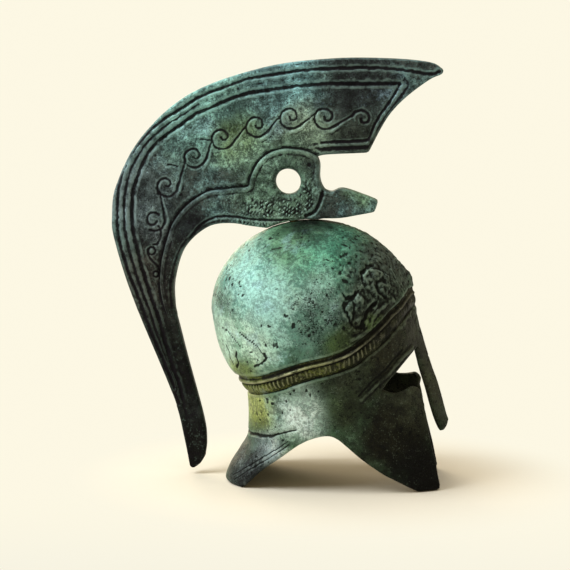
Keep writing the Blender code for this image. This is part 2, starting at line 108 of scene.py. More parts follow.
# Edges in side view: forward as a share of REACH_FRONT, and up as a share of EQUATOR_HEIGHT.
ARCH = (
    (-0.66, -0.020), (-0.46, 0.102), (-0.26, 0.191), (-0.06, 0.282), (0.09, 0.321), (0.21, 0.332),
    (0.29, 0.316), (0.37, 0.277), (0.51, 0.204), (0.71, 0.118), (0.90, 0.054), (1.10, -0.010),
)
BROW_EDGE = (
    (0.73, 0.604), (0.79, 0.652), (0.86, 0.695), (0.93, 0.741), (1.01, 0.789), (1.08, 0.812),
)
CHEEK_FRONT = (
    (1.31, -0.040), (1.28, 0.059), (1.24, 0.173), (1.19, 0.289), (1.15, 0.400), (1.12, 0.502),
    (1.08, 0.580),
)
CHEEK_TOP = (
    (1.05, 0.595), (1.00, 0.605), (0.92, 0.586), (0.85, 0.579), (0.79, 0.586),
)
NASAL_TIP = (
    (1.358, 0.371), (1.342, 0.336), (1.312, 0.314), (1.280, 0.309), (1.240, 0.322), (1.190, 0.350),
)

# Crest edges and lines, in thousandths: along, of CREST_LENGTH from its back, and up, of the crest's whole
# rise. At SEAT_SHARE of that rise it rests on the top of the dome.
CREST_OUTER = (
    (998, 972), (958, 989), (840, 998), (663, 997), (460, 975), (243, 913), (95, 810), (17, 696),
    (2, 618), (9, 560), (61, 424), (161, 227), (197, 148), (219, 68), (235, 5),
)
TAIL_TIP = (
    (235, 5), (241, 1), (250, 2), (268, 13), (281, 29),
)
PLUME_FRONT = (
    (998, 972), (993, 962), (958, 949), (894, 911), (847, 873), (816, 835), (789, 793), (779, 777),
)
# The plume's lower edge: free under its front, then inside the holder, then free again down the tail.
PLUME_INNER = (
    (779, 777), (730, 775), (680, 773), (640, 770), (600, 760), (539, 762), (487, 752), (455, 715),
    (432, 665), (360, 650), (290, 636), (235, 600), (198, 545), (179, 470), (187, 410), (203, 360),
    (232, 268), (278, 129), (287, 69), (281, 29),
)
HOLDER_EDGE_FRONT = (
    (645, 620), (700, 622), (755, 630), (799, 637),
)
HOLDER_EDGE_TOP = (
    (809, 663), (772, 675), (703, 692), (668, 684), (646, 692), (634, 715), (634, 748), (626, 768),
)
HOLDER_EDGE_UPPER = (
    (626, 768), (600, 778), (570, 783), (531, 785), (501, 780), (471, 768), (450, 751), (435, 730),
    (426, 711), (418, 694), (380, 691), (341, 686), (304, 683), (274, 671), (243, 654), (213, 630),
    (188, 600), (172, 564), (163, 540), (153, 503), (149, 454), (158, 408), (174, 360),
)
HOLDER_EDGE_LOWER = (
    (203, 350), (198, 380), (192, 406), (192, 465), (223, 543), (294, 595), (362, 606), (425, 600),
    (470, 596),
)
SEAT_FROM, SEAT_TO = 475, 630
GROOVE_OUTER = (
    (985, 968), (959, 962), (871, 972), (783, 976), (665, 974), (576, 969), (516, 962), (426, 950),
    (351, 930), (276, 907), (215, 876), (155, 847), (93, 799), (46, 744), (24, 683), (20, 623),
    (22, 575), (42, 509), (72, 441), (96, 392), (117, 343), (160, 262), (190, 200),
)
GROOVE_INNER = (
    (871, 940), (783, 939), (665, 939), (576, 934), (486, 924), (426, 917), (366, 902), (306, 881),
    (261, 866), (215, 840), (169, 814), (123, 780), (98, 744), (76, 701), (66, 660), (65, 599),
    (80, 539), (103, 466), (124, 417), (148, 356), (177, 270), (208, 196), (228, 122), (246, 52),
)
FRONT_GROOVE = (
    (871, 938), (850, 908), (828, 883), (799, 846), (784, 813), (774, 806), (700, 803), (640, 800),
)
FRONT_RIDGE = (
    (888, 936), (857, 903), (828, 872), (808, 846), (790, 818), (778, 797),
)
BOTTOM_RIDGE = (
    (772, 797), (695, 795), (636, 792), (605, 788),
)
SCROLL = (
    (763, 857), (653, 861), (549, 861), (447, 841), (342, 812), (257, 767), (171, 697), (130, 614),
)
EYELET_CENTRE = (539, 707)
HEAD_LINE = (
    (646, 690), (640, 672), (633, 655), (618, 636), (594, 626),
)
UNDER_LINE = (
    (560, 617), (500, 615), (425, 617), (383, 622), (322, 621), (273, 599), (242, 565), (215, 505),
)

# Cast and cut lines of the shell, seen from the side in millimetres: half width, height (a cut is below
# nought), and places forward and up.
SHELL_LINES = (
    (1.05, 0.65, ((26.9, 62.0), (24.4, 60.7), (22.3, 59.1), (20.8, 57.0), (20.1, 54.4), (18.0, 52.2),
                  (14.4, 50.6))),
    (0.70, -0.50, ((14.8, 62.3), (15.3, 60.1), (14.7, 57.4), (14.4, 55.2))),
    (0.60, 0.25, ((29.5, 57.4), (32.0, 61.0))),
    (0.55, 0.45, ((17.8, 68.7), (18.0, 70.2), (18.9, 71.2), (20.4, 71.7), (22.2, 71.2), (23.6, 70.2))),
    (1.00, -0.75, ((18.6, 67.4), (17.5, 69.3), (17.2, 71.0), (18.6, 72.7), (20.4, 73.0))),
    (1.15, -0.95, ((21.8, 68.1), (23.8, 68.8))),
    (0.75, 0.45, ((23.9, 67.1), (24.1, 66.8))),
    (0.60, 0.40, ((19.0, 68.3), (19.3, 68.0))),
    (0.90, 0.40, ((23.1, 65.6), (24.4, 64.4))),
    (0.70, 0.40, ((20.3, 67.9), (20.9, 66.0), (21.4, 64.6))),
    (0.70, -0.50, ((21.7, 67.6), (21.9, 66.0), (22.9, 64.2), (24.6, 63.3))),
    (0.50, 0.30, ((24.1, 70.4), (25.0, 69.2), (25.7, 67.6))),
    (0.45, 0.28, ((25.8, 71.2), (27.1, 68.7), (28.4, 66.2))),
    (0.80, -0.60, ((29.3, 65.6), (30.3, 63.9))),
    (0.38, -0.30, ((-21.6, 51.4), (-18.8, 49.4), (-16.4, 48.1), (-14.5, 46.0), (-13.5, 44.1))),
    (0.85, -0.60, ((-13.4, 45.4), (-13.0, 44.1), (-13.6, 43.0))),
    (0.60, -0.50, ((-13.6, 43.0), (-14.8, 42.0), (-16.9, 40.9))),
    (0.55, 0.22, ((-13.0, 42.0), (-14.6, 40.7), (-17.2, 39.6))),
    (0.85, -0.70, ((-23.3, 44.3), (-23.5, 42.8), (-22.9, 40.9), (-23.6, 39.4))),
    (0.50, -0.35, ((-27.0, 46.2), (-26.0, 43.9), (-25.8, 41.7), (-24.8, 39.9))),
    (0.30, -0.22, ((-28.3, 51.8), (-26.3, 51.2), (-24.1, 49.3), (-21.7, 47.0))),
    (0.25, -0.14, ((-29.1, 68.9), (-26.4, 68.8), (-23.2, 67.3), (-20.2, 65.2), (-18.8, 62.3))),
    (0.90, 0.50, ((17.2, 30.8), (20.0, 33.4), (23.1, 36.5), (26.2, 39.1), (28.3, 41.7), (29.8, 43.2),
                  (33.0, 45.6))),
    (0.60, -0.20, ((16.4, 32.0), (19.0, 34.9), (22.1, 38.0), (25.2, 40.6), (27.3, 43.2), (30.0, 46.0))),
    (0.90, -0.60, ((-26.0, 15.4), (-19.8, 16.2), (-17.3, 17.0), (-15.0, 17.1), (-12.1, 17.7),
                   (-9.4, 18.8))),
    (0.55, -0.40, ((-10.6, 18.2), (-8.4, 19.1), (-6.3, 19.9), (-3.7, 20.7))),
    (0.30, -0.30, ((-25.0, 3.2), (-20.2, 6.7), (-16.8, 9.1), (-12.7, 11.9), (-8.7, 14.7), (-6.0, 16.9))),
    (0.30, -0.30, ((-24.2, 2.2), (-19.8, 5.6), (-16.4, 8.0), (-12.3, 10.8), (-8.3, 13.8), (-5.6, 15.8))),
)
# Raised temple ornaments and hollows: height, then their outline forward and up in millimetres.
SHELL_MASSES = (
    (-0.75, ((12.2, 60.2), (13.3, 58.9), (14.2, 56.6), (15.5, 54.4), (16.9, 53.6), (18.2, 54.5), (19.0, 57.1),
             (20.5, 59.7), (22.2, 61.3), (21.7, 62.5), (20.0, 61.4), (18.6, 59.2), (17.4, 56.8), (16.4, 54.8),
             (15.0, 55.0), (13.6, 56.4), (12.8, 58.6))),
    (-0.70, ((11.2, 65.5), (12.6, 64.4), (14.3, 65.0), (16.2, 65.9), (15.8, 64.0), (14.6, 62.8), (12.9, 61.6),
             (12.4, 59.4), (11.4, 61.2), (11.9, 63.4))),
    (0.50, ((16.1, 65.3), (17.6, 63.5), (17.9, 59.9), (17.1, 57.0), (16.0, 55.4), (15.5, 56.8), (16.2, 59.1),
            (15.7, 62.4))),
    (0.35, ((17.6, 69.0), (17.6, 71.0), (18.6, 71.9), (20.7, 72.0), (23.1, 70.8), (25.2, 68.5), (26.0, 65.7),
            (25.4, 63.6), (23.6, 62.6), (21.9, 63.2), (19.9, 65.2), (18.3, 67.2))),
)
# Small damage to the edge of the near cheek-piece: forward, up and reach.
NICKS = ((36.3, 30.2, 0.90), (37.1, 28.3, 0.40), (37.6, 25.8, 0.70), (42.6, 4.6, 0.60), (6.2, 18.1, 0.30))
# The photograph hides the far cheek-piece, so below the eye its front edge lies this much further back. The
# heights are those where that begins and is full, turned over.
FAR_CHEEK_BACK, FAR_CHEEK_BELOW = 1.5, (-33, -29)
# Where the cuts close: past the face, under the ground and inside the nasal, as shares.
PAST_FACE = 1.9
PAST_GROUND = -0.2
INSIDE_NASAL = 0.9
BROW_SLOPE = 0.03


# Numbers and lines


def curve(rows, column, at):
    """One column of a table at each station: cubic pieces that never overshoot the rows.

    The slope at a row is the harmonic mean of the slopes on its two sides, or nought at a peak.
    """
    rows = np.asarray(rows, float)
    x, y = rows[:, 0], rows[:, column]
    steep = np.diff(y) / np.diff(x)
    slope = np.concatenate([steep[:1], np.zeros(len(x) - 2), steep[-1:]])
    product = steep[:-1] * steep[1:]
    same = product > 0
    slope[1:-1][same] = 2 * product[same] / (steep[:-1] + steep[1:])[same]
    at = np.clip(at, x[0], x[-1])
    k = np.clip(np.searchsorted(x, at, "right") - 1, 0, len(x) - 2)
    width = x[k + 1] - x[k]
    s = (at - x[k]) / width
    ends = y[k] * (1 + 2 * s) * (1 - s) ** 2 + y[k + 1] * s**2 * (3 - 2 * s)
    return ends + width * (slope[k] * s * (1 - s) ** 2 - slope[k + 1] * s**2 * (1 - s))


def smooth_path(knots, steps=6):
    """Points on a curve through all the knots: cubics whose slopes match where they meet."""
    knots = np.asarray(knots, float)
    ends = np.vstack([2 * knots[0] - knots[1], knots, 2 * knots[-1] - knots[-2]])
    a, b, c, d = ends[:-3], ends[1:-2], ends[2:-1], ends[3:]
    s = (np.arange(steps) / steps)[:, None, None]
    points = b + (c - a) * s / 2 + (a - 2.5 * b + 2 * c - d / 2) * s**2 + ((b - c) * 1.5 + (d - a) / 2) * s**3
    return np.vstack([points.transpose(1, 0, 2).reshape(-1, knots.shape[1]), knots[-1]])


def line_field(points, line, reach):
    """Distance of each point from a line, and in a flat view its side: 1 to the left of its run, -1 right.

    The distance is taken to the nearest place of every straight piece. Points beyond reach of the line's box
    are left at reach.
    """
    points = np.asarray(points, float)
    flat = points.reshape(-1, points.shape[-1])
    line = np.asarray(line, float)
    near = np.all((flat > line.min(0) - reach) & (flat < line.max(0) + reach), axis=1)
    some = flat[near]
    best, side = np.full(len(some), reach), np.ones(len(some))
    for start, span in zip(line[:-1], np.diff(line, axis=0)):
        offset = some - start
        share = np.clip(offset @ span / max(span @ span, 1e-12), 0, 1)
        gap = np.linalg.norm(offset - share[:, None] * span, axis=1)
        nearer = gap < best
        best[nearer] = gap[nearer]
        if flat.shape[1] == 2:
            side[nearer] = np.sign(span[0] * offset[:, 1] - span[1] * offset[:, 0])[nearer]
    distance, sides = np.full(len(flat), reach), np.ones(len(flat))
    distance[near], sides[near] = best, side
    return distance.reshape(points.shape[:-1]), sides.reshape(points.shape[:-1])


def within(points, outline):
    """Whether each flat point lies in a closed outline: a level line from it crosses that an odd number of
    times."""
    x, y = points[..., 0], points[..., 1]
    odd = np.zeros(x.shape, bool)
    for (x1, y1), (x2, y2) in zip(outline, np.roll(outline, -1, axis=0)):
        if y1 != y2:
            odd ^= ((y1 > y) != (y2 > y)) & (x < (x2 - x1) * (y - y1) / (y2 - y1) + x1)
    return odd


def depth_in(points, outline, reach=6.0):
    """Distance inside a closed outline, below nought outside it."""
    distance, _ = line_field(points, np.vstack([outline, outline[:1]]), reach)
    return np.where(within(points, outline), distance, -distance)


def bump(distance, half):
    """A smooth swell: 1 on the line, falling as (1 - share squared) squared to 0 at half."""
    return (1 - np.minimum(np.abs(distance) / half, 1) ** 2) ** 2


def line_bump(points, line, reach, half):
    """The same swell all along a line, for points within reach of the line's box."""
    return bump(line_field(points, line, reach)[0], half)


def rise(value, low, high):
    """A smooth climb from 0 at low to 1 at high."""
    s = np.clip((value - low) / (high - low), 0, 1)
    return s * s * (3 - 2 * s)


def grain(points, size, seed):
    """Smooth random relief from -1 to 1: a hashed value at each corner of cubes this size, then blended."""
    place = np.asarray(points) / size
    cell = np.floor(place).astype(np.int64)
    share = place - cell
    share = share * share * (3 - 2 * share)
    total = np.zeros(place.shape[:-1])
    for corner in itertools.product((0, 1), repeat=3):
        x, y, z = np.moveaxis(cell + np.array(corner), -1, 0)
        key = (x * 73856093) ^ (y * 19349663) ^ (z * 83492791) ^ (seed * 2654435761)
        key = ((key ^ (key >> 13)) * 1274126177) & 0xFFFFFFFF
        value = ((key ^ (key >> 16)) & 0xFFFF) / 0xFFFF
        total += np.prod(np.where(np.array(corner) == 1, share, 1 - share), axis=-1) * value
    return 2 * total - 1


def cast_skin(points, seed):
    """Depth of the cast surface below its true form: slow waves, fine sand marks and scattered pits."""
    waves = 0.030 * grain(points, 6.0, seed) + 0.028 * grain(points, 2.2, seed + 1)
    sand = 0.030 * grain(points, 0.9, seed + 2)
    pits = rise(grain(points, 1.3, seed + 3), 0.45, 0.8) * rise(grain(points, 9.0, seed + 4), -0.2, 0.5)
    return waves + sand - 0.18 * pits - 0.09


# Meshes


# The wider blur of lie_of, and the difference from it that counts as full, both times the nearer one's.
WIDE_BLUR, WIDE_FULL = 6, 3.2


def blurred(field, times):
    """A field on a grid with each value moved towards its neighbours' mean, the given number of times."""
    for _ in range(times):
        wide = np.pad(field, 1, mode="edge")
        beside = wide[:-2, 1:-1] + wide[2:, 1:-1] + wide[1:-1, :-2] + wide[1:-1, 2:]
        field = (wide[1:-1, 1:-1] * 2 + beside) / 6
    return field


def lie_of(height, times=6, full=0.16):
    """How far each place lies below its surroundings, from -1 on a ridge to 1 in a crevice or a broad hollow.

    It is the height's difference from its blur, as a share of full, with a share of the difference from a
    wider blur added where that blur is the higher.
    """
    broad = np.maximum(blurred(height, WIDE_BLUR * times) - height, 0) / (WIDE_FULL * full)
    return np.clip((blurred(height, times) - height) / full + broad, -1, 1)


def grid_quads(rows, columns):
    index = np.arange(rows * columns).reshape(rows, columns)
    quads = np.stack([index[:-1, :-1], index[:-1, 1:], index[1:, 1:], index[1:, :-1]], axis=-1)
    return quads.reshape(-1, 4)


def trimmed(params, past):
    """Cuts a grid of parameters along the line where past(params) is nought, keeping where it is below.

    Each grid point next to the line slides along its grid edge onto the line. Cells all inside stay whole, a
    cell with one corner outside gives a triangle. Returns the moved parameters, quads and triangles.
    """
    value = past(params)
    rows, columns = value.shape
    least = np.full(value.shape, np.inf)
    moved = params.copy()
    for down, right in ((0, 1), (0, -1), (1, 0), (-1, 0)):
        index_row = np.clip(np.arange(rows) + down, 0, rows - 1)[:, None]
        index_column = np.clip(np.arange(columns) + right, 0, columns - 1)[None, :]
        other = value[index_row, index_column]
        crossing = value * other < 0
        share = np.where(crossing, value / np.where(crossing, value - other, 1), np.inf)
        take = (share <= 0.5) & (share < least)
        least[take] = share[take]
        target = params + (params[index_row, index_column] - params) * np.where(take, share, 0)[..., None]
        moved[take] = target[take]
    state = np.where(np.isfinite(least), 0, np.sign(value))
    corners = grid_quads(rows, columns)
    states = state.ravel()[corners]
    centres = past(moved.reshape(-1, params.shape[-1])[corners].mean(axis=1))
    inside = (states < 0).any(axis=1) | (centres < 0)
    quads = corners[(states <= 0).all(axis=1) & inside]
    one_out = ((states > 0).sum(axis=1) == 1) & inside
    at = np.argmax(states[one_out] > 0, axis=1)
    turned = (at[:, None] + np.arange(1, 4)) % 4
    triangles = np.take_along_axis(corners[one_out], turned, axis=1)
    middles = past(moved.reshape(-1, params.shape[-1])[triangles].mean(axis=1))
    return moved, quads, triangles[middles < 0]


def closed_wall(near, far, quads, triangles, radius, steps, lie, rim_lie):
    """One closed body from two matching sides: the faces, the same faces turned on the far side, and a
    rounded rim round every free edge.

    The rim leaves the near side in a quarter turn of the given radius, crosses flat, and meets the far side
    in another quarter turn. It stands out along the free edge's own sideways direction. lie belongs to the
    points of both sides, and rim_lie to the rim's.
    """
    count = len(near)
    pairs = [(quads[:, i], quads[:, (i + 1) % 4]) for i in range(4)]
    pairs += [(triangles[:, i], triangles[:, (i + 1) % 3]) for i in range(3)]
    start = np.concatenate([a for a, _ in pairs])
    end = np.concatenate([b for _, b in pairs])
    free = ~np.isin(start * count + end, end * count + start)
    start, end = start[free], end[free]
    through = far - near
    thickness = np.linalg.norm(through, axis=1)
    facing = -through / np.maximum(thickness, 1e-9)[:, None]
    sideways = np.cross(near[end] - near[start], facing[start] + facing[end])
    out = np.zeros_like(near)
    np.add.at(out, start, sideways)
    np.add.at(out, end, sideways)
    out /= np.maximum(np.linalg.norm(out, axis=1), 1e-9)[:, None]
    edge = np.unique(np.concatenate([start, end]))
    slot = np.full(count, -1)
    slot[edge] = np.arange(len(edge))
    radius = np.broadcast_to(radius, (count,))[edge]
    wide = thickness[edge]
    angles = np.radians(90) * np.arange(1, steps + 1) / steps
    turns = [(radius * (1 - np.cos(a)) / wide, radius * np.sin(a)) for a in angles]
    turns += [(1 - share, reach) for share, reach in reversed(turns)]
    ring, across, outward = near[edge], through[edge], out[edge]
    rings = [ring + across * share[:, None] + outward * reach[:, None] for share, reach in turns]
    first = 2 * count + np.arange(len(turns)) * len(edge)
    rows = [(start, end)] + [(slot[start] + base, slot[end] + base) for base in first]
    rows += [(start + count, end + count)]
    rim = [np.stack([b, a, c, d], axis=1) for (a, b), (c, d) in zip(rows, rows[1:])]
    points = np.vstack([near, far, *rings])
    all_quads = np.vstack([quads, quads[:, ::-1] + count, *rim])
    all_triangles = np.vstack([triangles, triangles[:, ::-1] + count])
    rim_values = np.broadcast_to(rim_lie, (count,))[edge]
    values = np.concatenate([lie, lie, np.tile(rim_values, len(turns))])
    used = np.unique(np.concatenate([all_quads.ravel(), all_triangles.ravel()]))
    renumber = np.zeros(len(points), np.int64)
    renumber[used] = np.arange(len(used))
    return points[used], renumber[all_quads], renumber[all_triangles], values[used]


def make_piece(name, points, quads, triangles, lie, material, slot, stands_for):
    """A mesh object at the origin that rides on the helmet, from millimetres off the helmet's axis."""
    mesh = bpy.data.meshes.new(name)
    places = (np.asarray(points) + (AXIS_X, 0, 0)) * MM
    mesh.from_pydata(places.tolist(), [], quads.tolist() + triangles.tolist())
    mesh.update()
    mesh.shade_smooth()
    mesh.attributes.new("lie", "FLOAT", "POINT").data.foreach_set("value", np.asarray(lie, np.float32))
    mesh.materials.append(material)
    piece = bpy.data.objects.new(name, mesh)
    bpy.context.scene.collection.objects.link(piece)
    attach(piece, "root")
    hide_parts(stands_for)
    return piece


# Form of the shell


def shell_sizes(height):
    """Back, front, half width, both squarenesses and ridge of the shell's level sections."""
    share = np.minimum(height / EQUATOR_HEIGHT, 1.0)
    lift = np.clip((height - EQUATOR_HEIGHT) / (SKULL_HEIGHT - EQUATOR_HEIGHT), 0, 1)
    scale = np.sqrt(1 - lift**2)
    back = curve(SECTIONS, BACK, share) * REACH_BACK * scale
    front = curve(SECTIONS, FRONT, share) * REACH_FRONT * scale
    half = curve(SECTIONS, HALF, share) * HALF_WIDTH * scale
    ridge = curve(RIDGE, 1, height / EQUATOR_HEIGHT) * RIDGE_DEPTH
    return back, front, half, curve(SECTIONS, SQUARE_BACK, share), curve(SECTIONS, SQUARE_FRONT, share), ridge


def shell(turn, height):
    """A point of the shell: a level section is |x / reach|^p + |y / half|^p = 1, met by a ray at this turn.

    A turn of 0 is the middle of the face. The ridge adds to x within RIDGE_HALF_WIDTH of the middle.
    """
    back, front, half, square_back, square_front, ridge = shell_sizes(height)
    ahead, aside = np.cos(turn), np.sin(turn)
    reach = np.maximum(np.where(ahead > 0, front, back), 1e-6)
    square = np.where(ahead > 0, square_front, square_back)
    across = np.abs(aside / np.maximum(half, 1e-6))
    ray = (np.abs(ahead / reach) ** square + across**square) ** (-1 / square)
    x, y = ray * ahead, ray * aside
    crown = np.sqrt(np.maximum(0, 1 - np.abs(y) / RIDGE_HALF_WIDTH) ** 2 + 0.004) - np.sqrt(0.004)
    x = x + np.where(ahead > 0, ridge * crown, 0)
    return np.stack([x, y, height + 0 * turn], axis=-1)


def shell_normal(turn, height):
    """Outward direction of the shell, from short steps round and up."""
    step_turn, step_up = 0.004, 0.15
    round_it = shell(turn + step_turn, height) - shell(turn - step_turn, height)
    up = shell(turn, height + step_up) - shell(turn, height - step_up)
    normal = np.cross(round_it, up)
    return normal / np.maximum(np.linalg.norm(normal, axis=-1), 1e-9)[..., None]


def side_point(places):
    """The near side's points that a side view shows at these places, forward and up."""
    x, height = np.asarray(places, float).T
    back, front, half, square_back, square_front, _ = shell_sizes(height)
    reach = np.where(x > 0, front, back)
    square = np.where(x > 0, square_front, square_back)
    share = np.minimum(np.abs(x) / reach, 0.999)
    return np.stack([x, -half * (1 - share**square) ** (1 / square), height], axis=1)


def band_height(turn):
    """Height of the band's middle at each turn, from its station along the shell, settled in four rounds."""
    height = np.full(np.shape(turn), 45.0)
    for _ in range(4):
        x = shell(turn, height)[..., 0]
        back, front = shell_sizes(height)[:2]
        height = curve(BAND, 1, np.clip(x / np.where(x > 0, front, back), -1, 1)) * EQUATOR_HEIGHT
    return height


def dome_height(x):
    """Height of the dome's outside in the plane of symmetry."""
    reach = np.where(x > 0, REACH_FRONT, REACH_BACK)
    return EQUATOR_HEIGHT + (SKULL_HEIGHT - EQUATOR_HEIGHT) * np.sqrt(1 - (x / reach) ** 2)


# The temple ornament begins between these places, forward and up. All in millimetres, down to BAND_DIP.
ORNATE_FORWARD, ORNATE_UP = (6, 12), (50, 54)
# How far the cast lines wander, and how rough the face is, with what the ornament adds to both.
WANDER, ORNATE_WANDER = 0.14, 0.30
ROUGH, ORNATE_ROUGH = 0.02, 0.17
# An ornament's side rises from this far outside its outline to this far inside.
MASS_EDGE = (-0.35, 0.5)
# Past this distance a line leaves no mark.
LINE_REACH = 3.0
# Lip below the band: height over the band's middle line, and how far it stands out, then the dip's depth.
BAND_LIP_AT, BAND_LIP, BAND_DIP = -3.95, 0.30, 0.60


def shell_relief(points, band_gap):
    """Height of the cast ornament over the shell's plain form, on both sides alike.

    band_gap is the height over the band's middle line. The shell dips under the band, with a lip below it.
    """
    near = points * (1, 0, 1) - np.abs(points) * (0, 1, 0)
    flat = points[..., [0, 2]]
    ornate = rise(near[..., 0], *ORNATE_FORWARD) * rise(near[..., 2], *ORNATE_UP)
    rough = grain(points, 1.5, 21) + 0.7 * grain(points, 0.8, 22)
    # The cast lines wander and vary in depth as hand-cut wax does.
    wander = np.stack([grain(points, 1.1, seed) for seed in (23, 24, 25)], axis=-1)
    shift = (WANDER + ORNATE_WANDER * ornate)[..., None] * wander
    relief = np.zeros(points.shape[:-1])
    for height, outline in SHELL_MASSES:
        depth = depth_in(flat + shift[..., :2], smooth_path(outline, 3), LINE_REACH)
        relief += height * rise(depth, *MASS_EDGE) * (1 + 0.55 * rough)
    worn = 0.85 + 0.3 * grain(points, 1.6, 26)
    for half, height, places in SHELL_LINES:
        line = side_point(smooth_path(places, 5))
        relief += height * worn * line_bump(near + shift, line, LINE_REACH, half)
    relief += (ORNATE_ROUGH * ornate + ROUGH) * rough
    lip = bump(band_gap - BAND_LIP_AT, 0.5) * bump(points[..., 0] - 3.0, 17.0)
    dip = rise(-band_gap, -3.3, -2.7) * rise(band_gap, -3.75, -3.2)
    return relief + BAND_LIP * lip - BAND_DIP * dip


def band_grade(turn, step):
    """How steeply the band's middle line climbs at each turn, taken from one step back to one step ahead."""
    ahead = shell(turn + step, band_height(turn + step)) - shell(turn - step, band_height(turn - step))
    return ahead[..., 2] / np.linalg.norm(ahead, axis=-1)


def band_gap_of(turn, height):
    """Height over the band's middle line, taken up the surface and shortened where the line climbs."""
    return (height - band_height(turn)) * np.sqrt(1 - band_grade(turn, 0.02) ** 2)


def crowded_turns(columns, crowding):
    """Turns from the middle of the back all the way round, closer together at the face."""
    even = np.linspace(-np.pi, np.pi, columns + 1)
    return even - crowding * np.sin(even)


# Skull


# Columns round, rows up the outside and rows up the inside, and how much closer the columns are at the face.
SKULL_GRID, SKULL_CROWDING = (560, 128, 12), 0.12
SHELL_SEED = 11


def make_skull(material):
    """The dome above the band: turn round the axis by climb to the crown, with the wall's inside below it."""
    columns, rows, inner_rows = SKULL_GRID
    turn = crowded_turns(columns, SKULL_CROWDING)[:-1]
    dome_rise = SKULL_HEIGHT - EQUATOR_HEIGHT
    low = (band_height(turn) - EQUATOR_HEIGHT) / dome_rise
    low = np.where(low > 0, np.arcsin(np.clip(low, 0, 1)), low)

    def level(count):
        """Turns and heights of this many rows from the band to just short of the crown, and their normals."""
        share = np.linspace(0, 1, count + 1)[:-1]
        lift = low + (np.pi / 2 - low) * share[:, None]
        height = EQUATOR_HEIGHT + dome_rise * np.where(lift > 0, np.sin(lift), lift)
        turns = np.broadcast_to(turn, height.shape)
        return turns, height, shell_normal(turns, np.minimum(height, SKULL_HEIGHT - 0.2))

    turns, height, normal = level(rows)
    plain = shell(turns, height)
    relief = shell_relief(plain, band_gap_of(turns, height)) + cast_skin(plain, SHELL_SEED)
    outer = plain + normal * relief[..., None]
    turns, height, normal = level(inner_rows)
    inner = shell(turns, height) - WALL * normal
    points = np.vstack([outer.reshape(-1, 3), [[0, 0, SKULL_HEIGHT - 0.08]],
                        inner.reshape(-1, 3), [[0, 0, SKULL_HEIGHT - WALL]]])
    ring = np.arange(columns)
    following = np.roll(ring, -1)

    def sheet(first, count, flip):
        a = first + np.arange(count - 1)[:, None] * columns
        quads = np.stack([a + ring, a + following, a + following + columns, a + ring + columns], axis=-1)
        last = first + (count - 1) * columns
        cap = np.stack([last + ring, last + following, np.full(columns, first + count * columns)], axis=-1)
        quads = quads.reshape(-1, 4)
        return (quads[:, ::-1], cap[:, ::-1]) if flip else (quads, cap)

    inner_first = rows * columns + 1
    outer_quads, outer_cap = sheet(0, rows, False)
    inner_quads, inner_cap = sheet(inner_first, inner_rows, True)
    foot = np.stack([ring, inner_first + ring, inner_first + following, following], axis=-1)
    lie = np.concatenate([lie_of(relief).ravel(), [0], np.zeros(inner_rows * columns + 1)])
    quads, caps = np.vstack([outer_quads, inner_quads, foot]), np.vstack([outer_cap, inner_cap])
    return make_piece("skull", points, quads, caps, lie, material, "aged_bronze", "helmet_shell")


# Face, cheek-pieces and neck guard


# Columns round and rows up, and how much closer the columns are at the face.
FACE_GRID, FACE_CROWDING = (588, 102), 0.22
# Radius of the rim's rounding, as a share of the wall.
RIM_SHARE = 0.45


def side_shares(knots):
    return np.asarray(knots, float) * (REACH_FRONT, EQUATOR_HEIGHT)


def opening_outlines():
    """Side outlines of the arches, of the eyes with the face slit, and of what lies past the nasal's end."""
    arch = np.vstack([smooth_path(ARCH), [(ARCH[-1][0], PAST_GROUND), (ARCH[0][0], PAST_GROUND)]])
    face = np.vstack([
        smooth_path(BROW_EDGE),
        [(PAST_FACE, BROW_EDGE[-1][1] + BROW_SLOPE), (PAST_FACE, PAST_GROUND)],
        [(CHEEK_FRONT[0][0], PAST_GROUND)],
        smooth_path(CHEEK_FRONT),
        smooth_path(CHEEK_TOP),
    ])
    tip = np.vstack([
        [(PAST_FACE, NASAL_TIP[0][1])],
        smooth_path(NASAL_TIP),
        [(INSIDE_NASAL, NASAL_TIP[-1][1]), (INSIDE_NASAL, PAST_GROUND), (PAST_FACE, PAST_GROUND)],
    ])
    return side_shares(arch), side_shares(face), side_shares(tip)


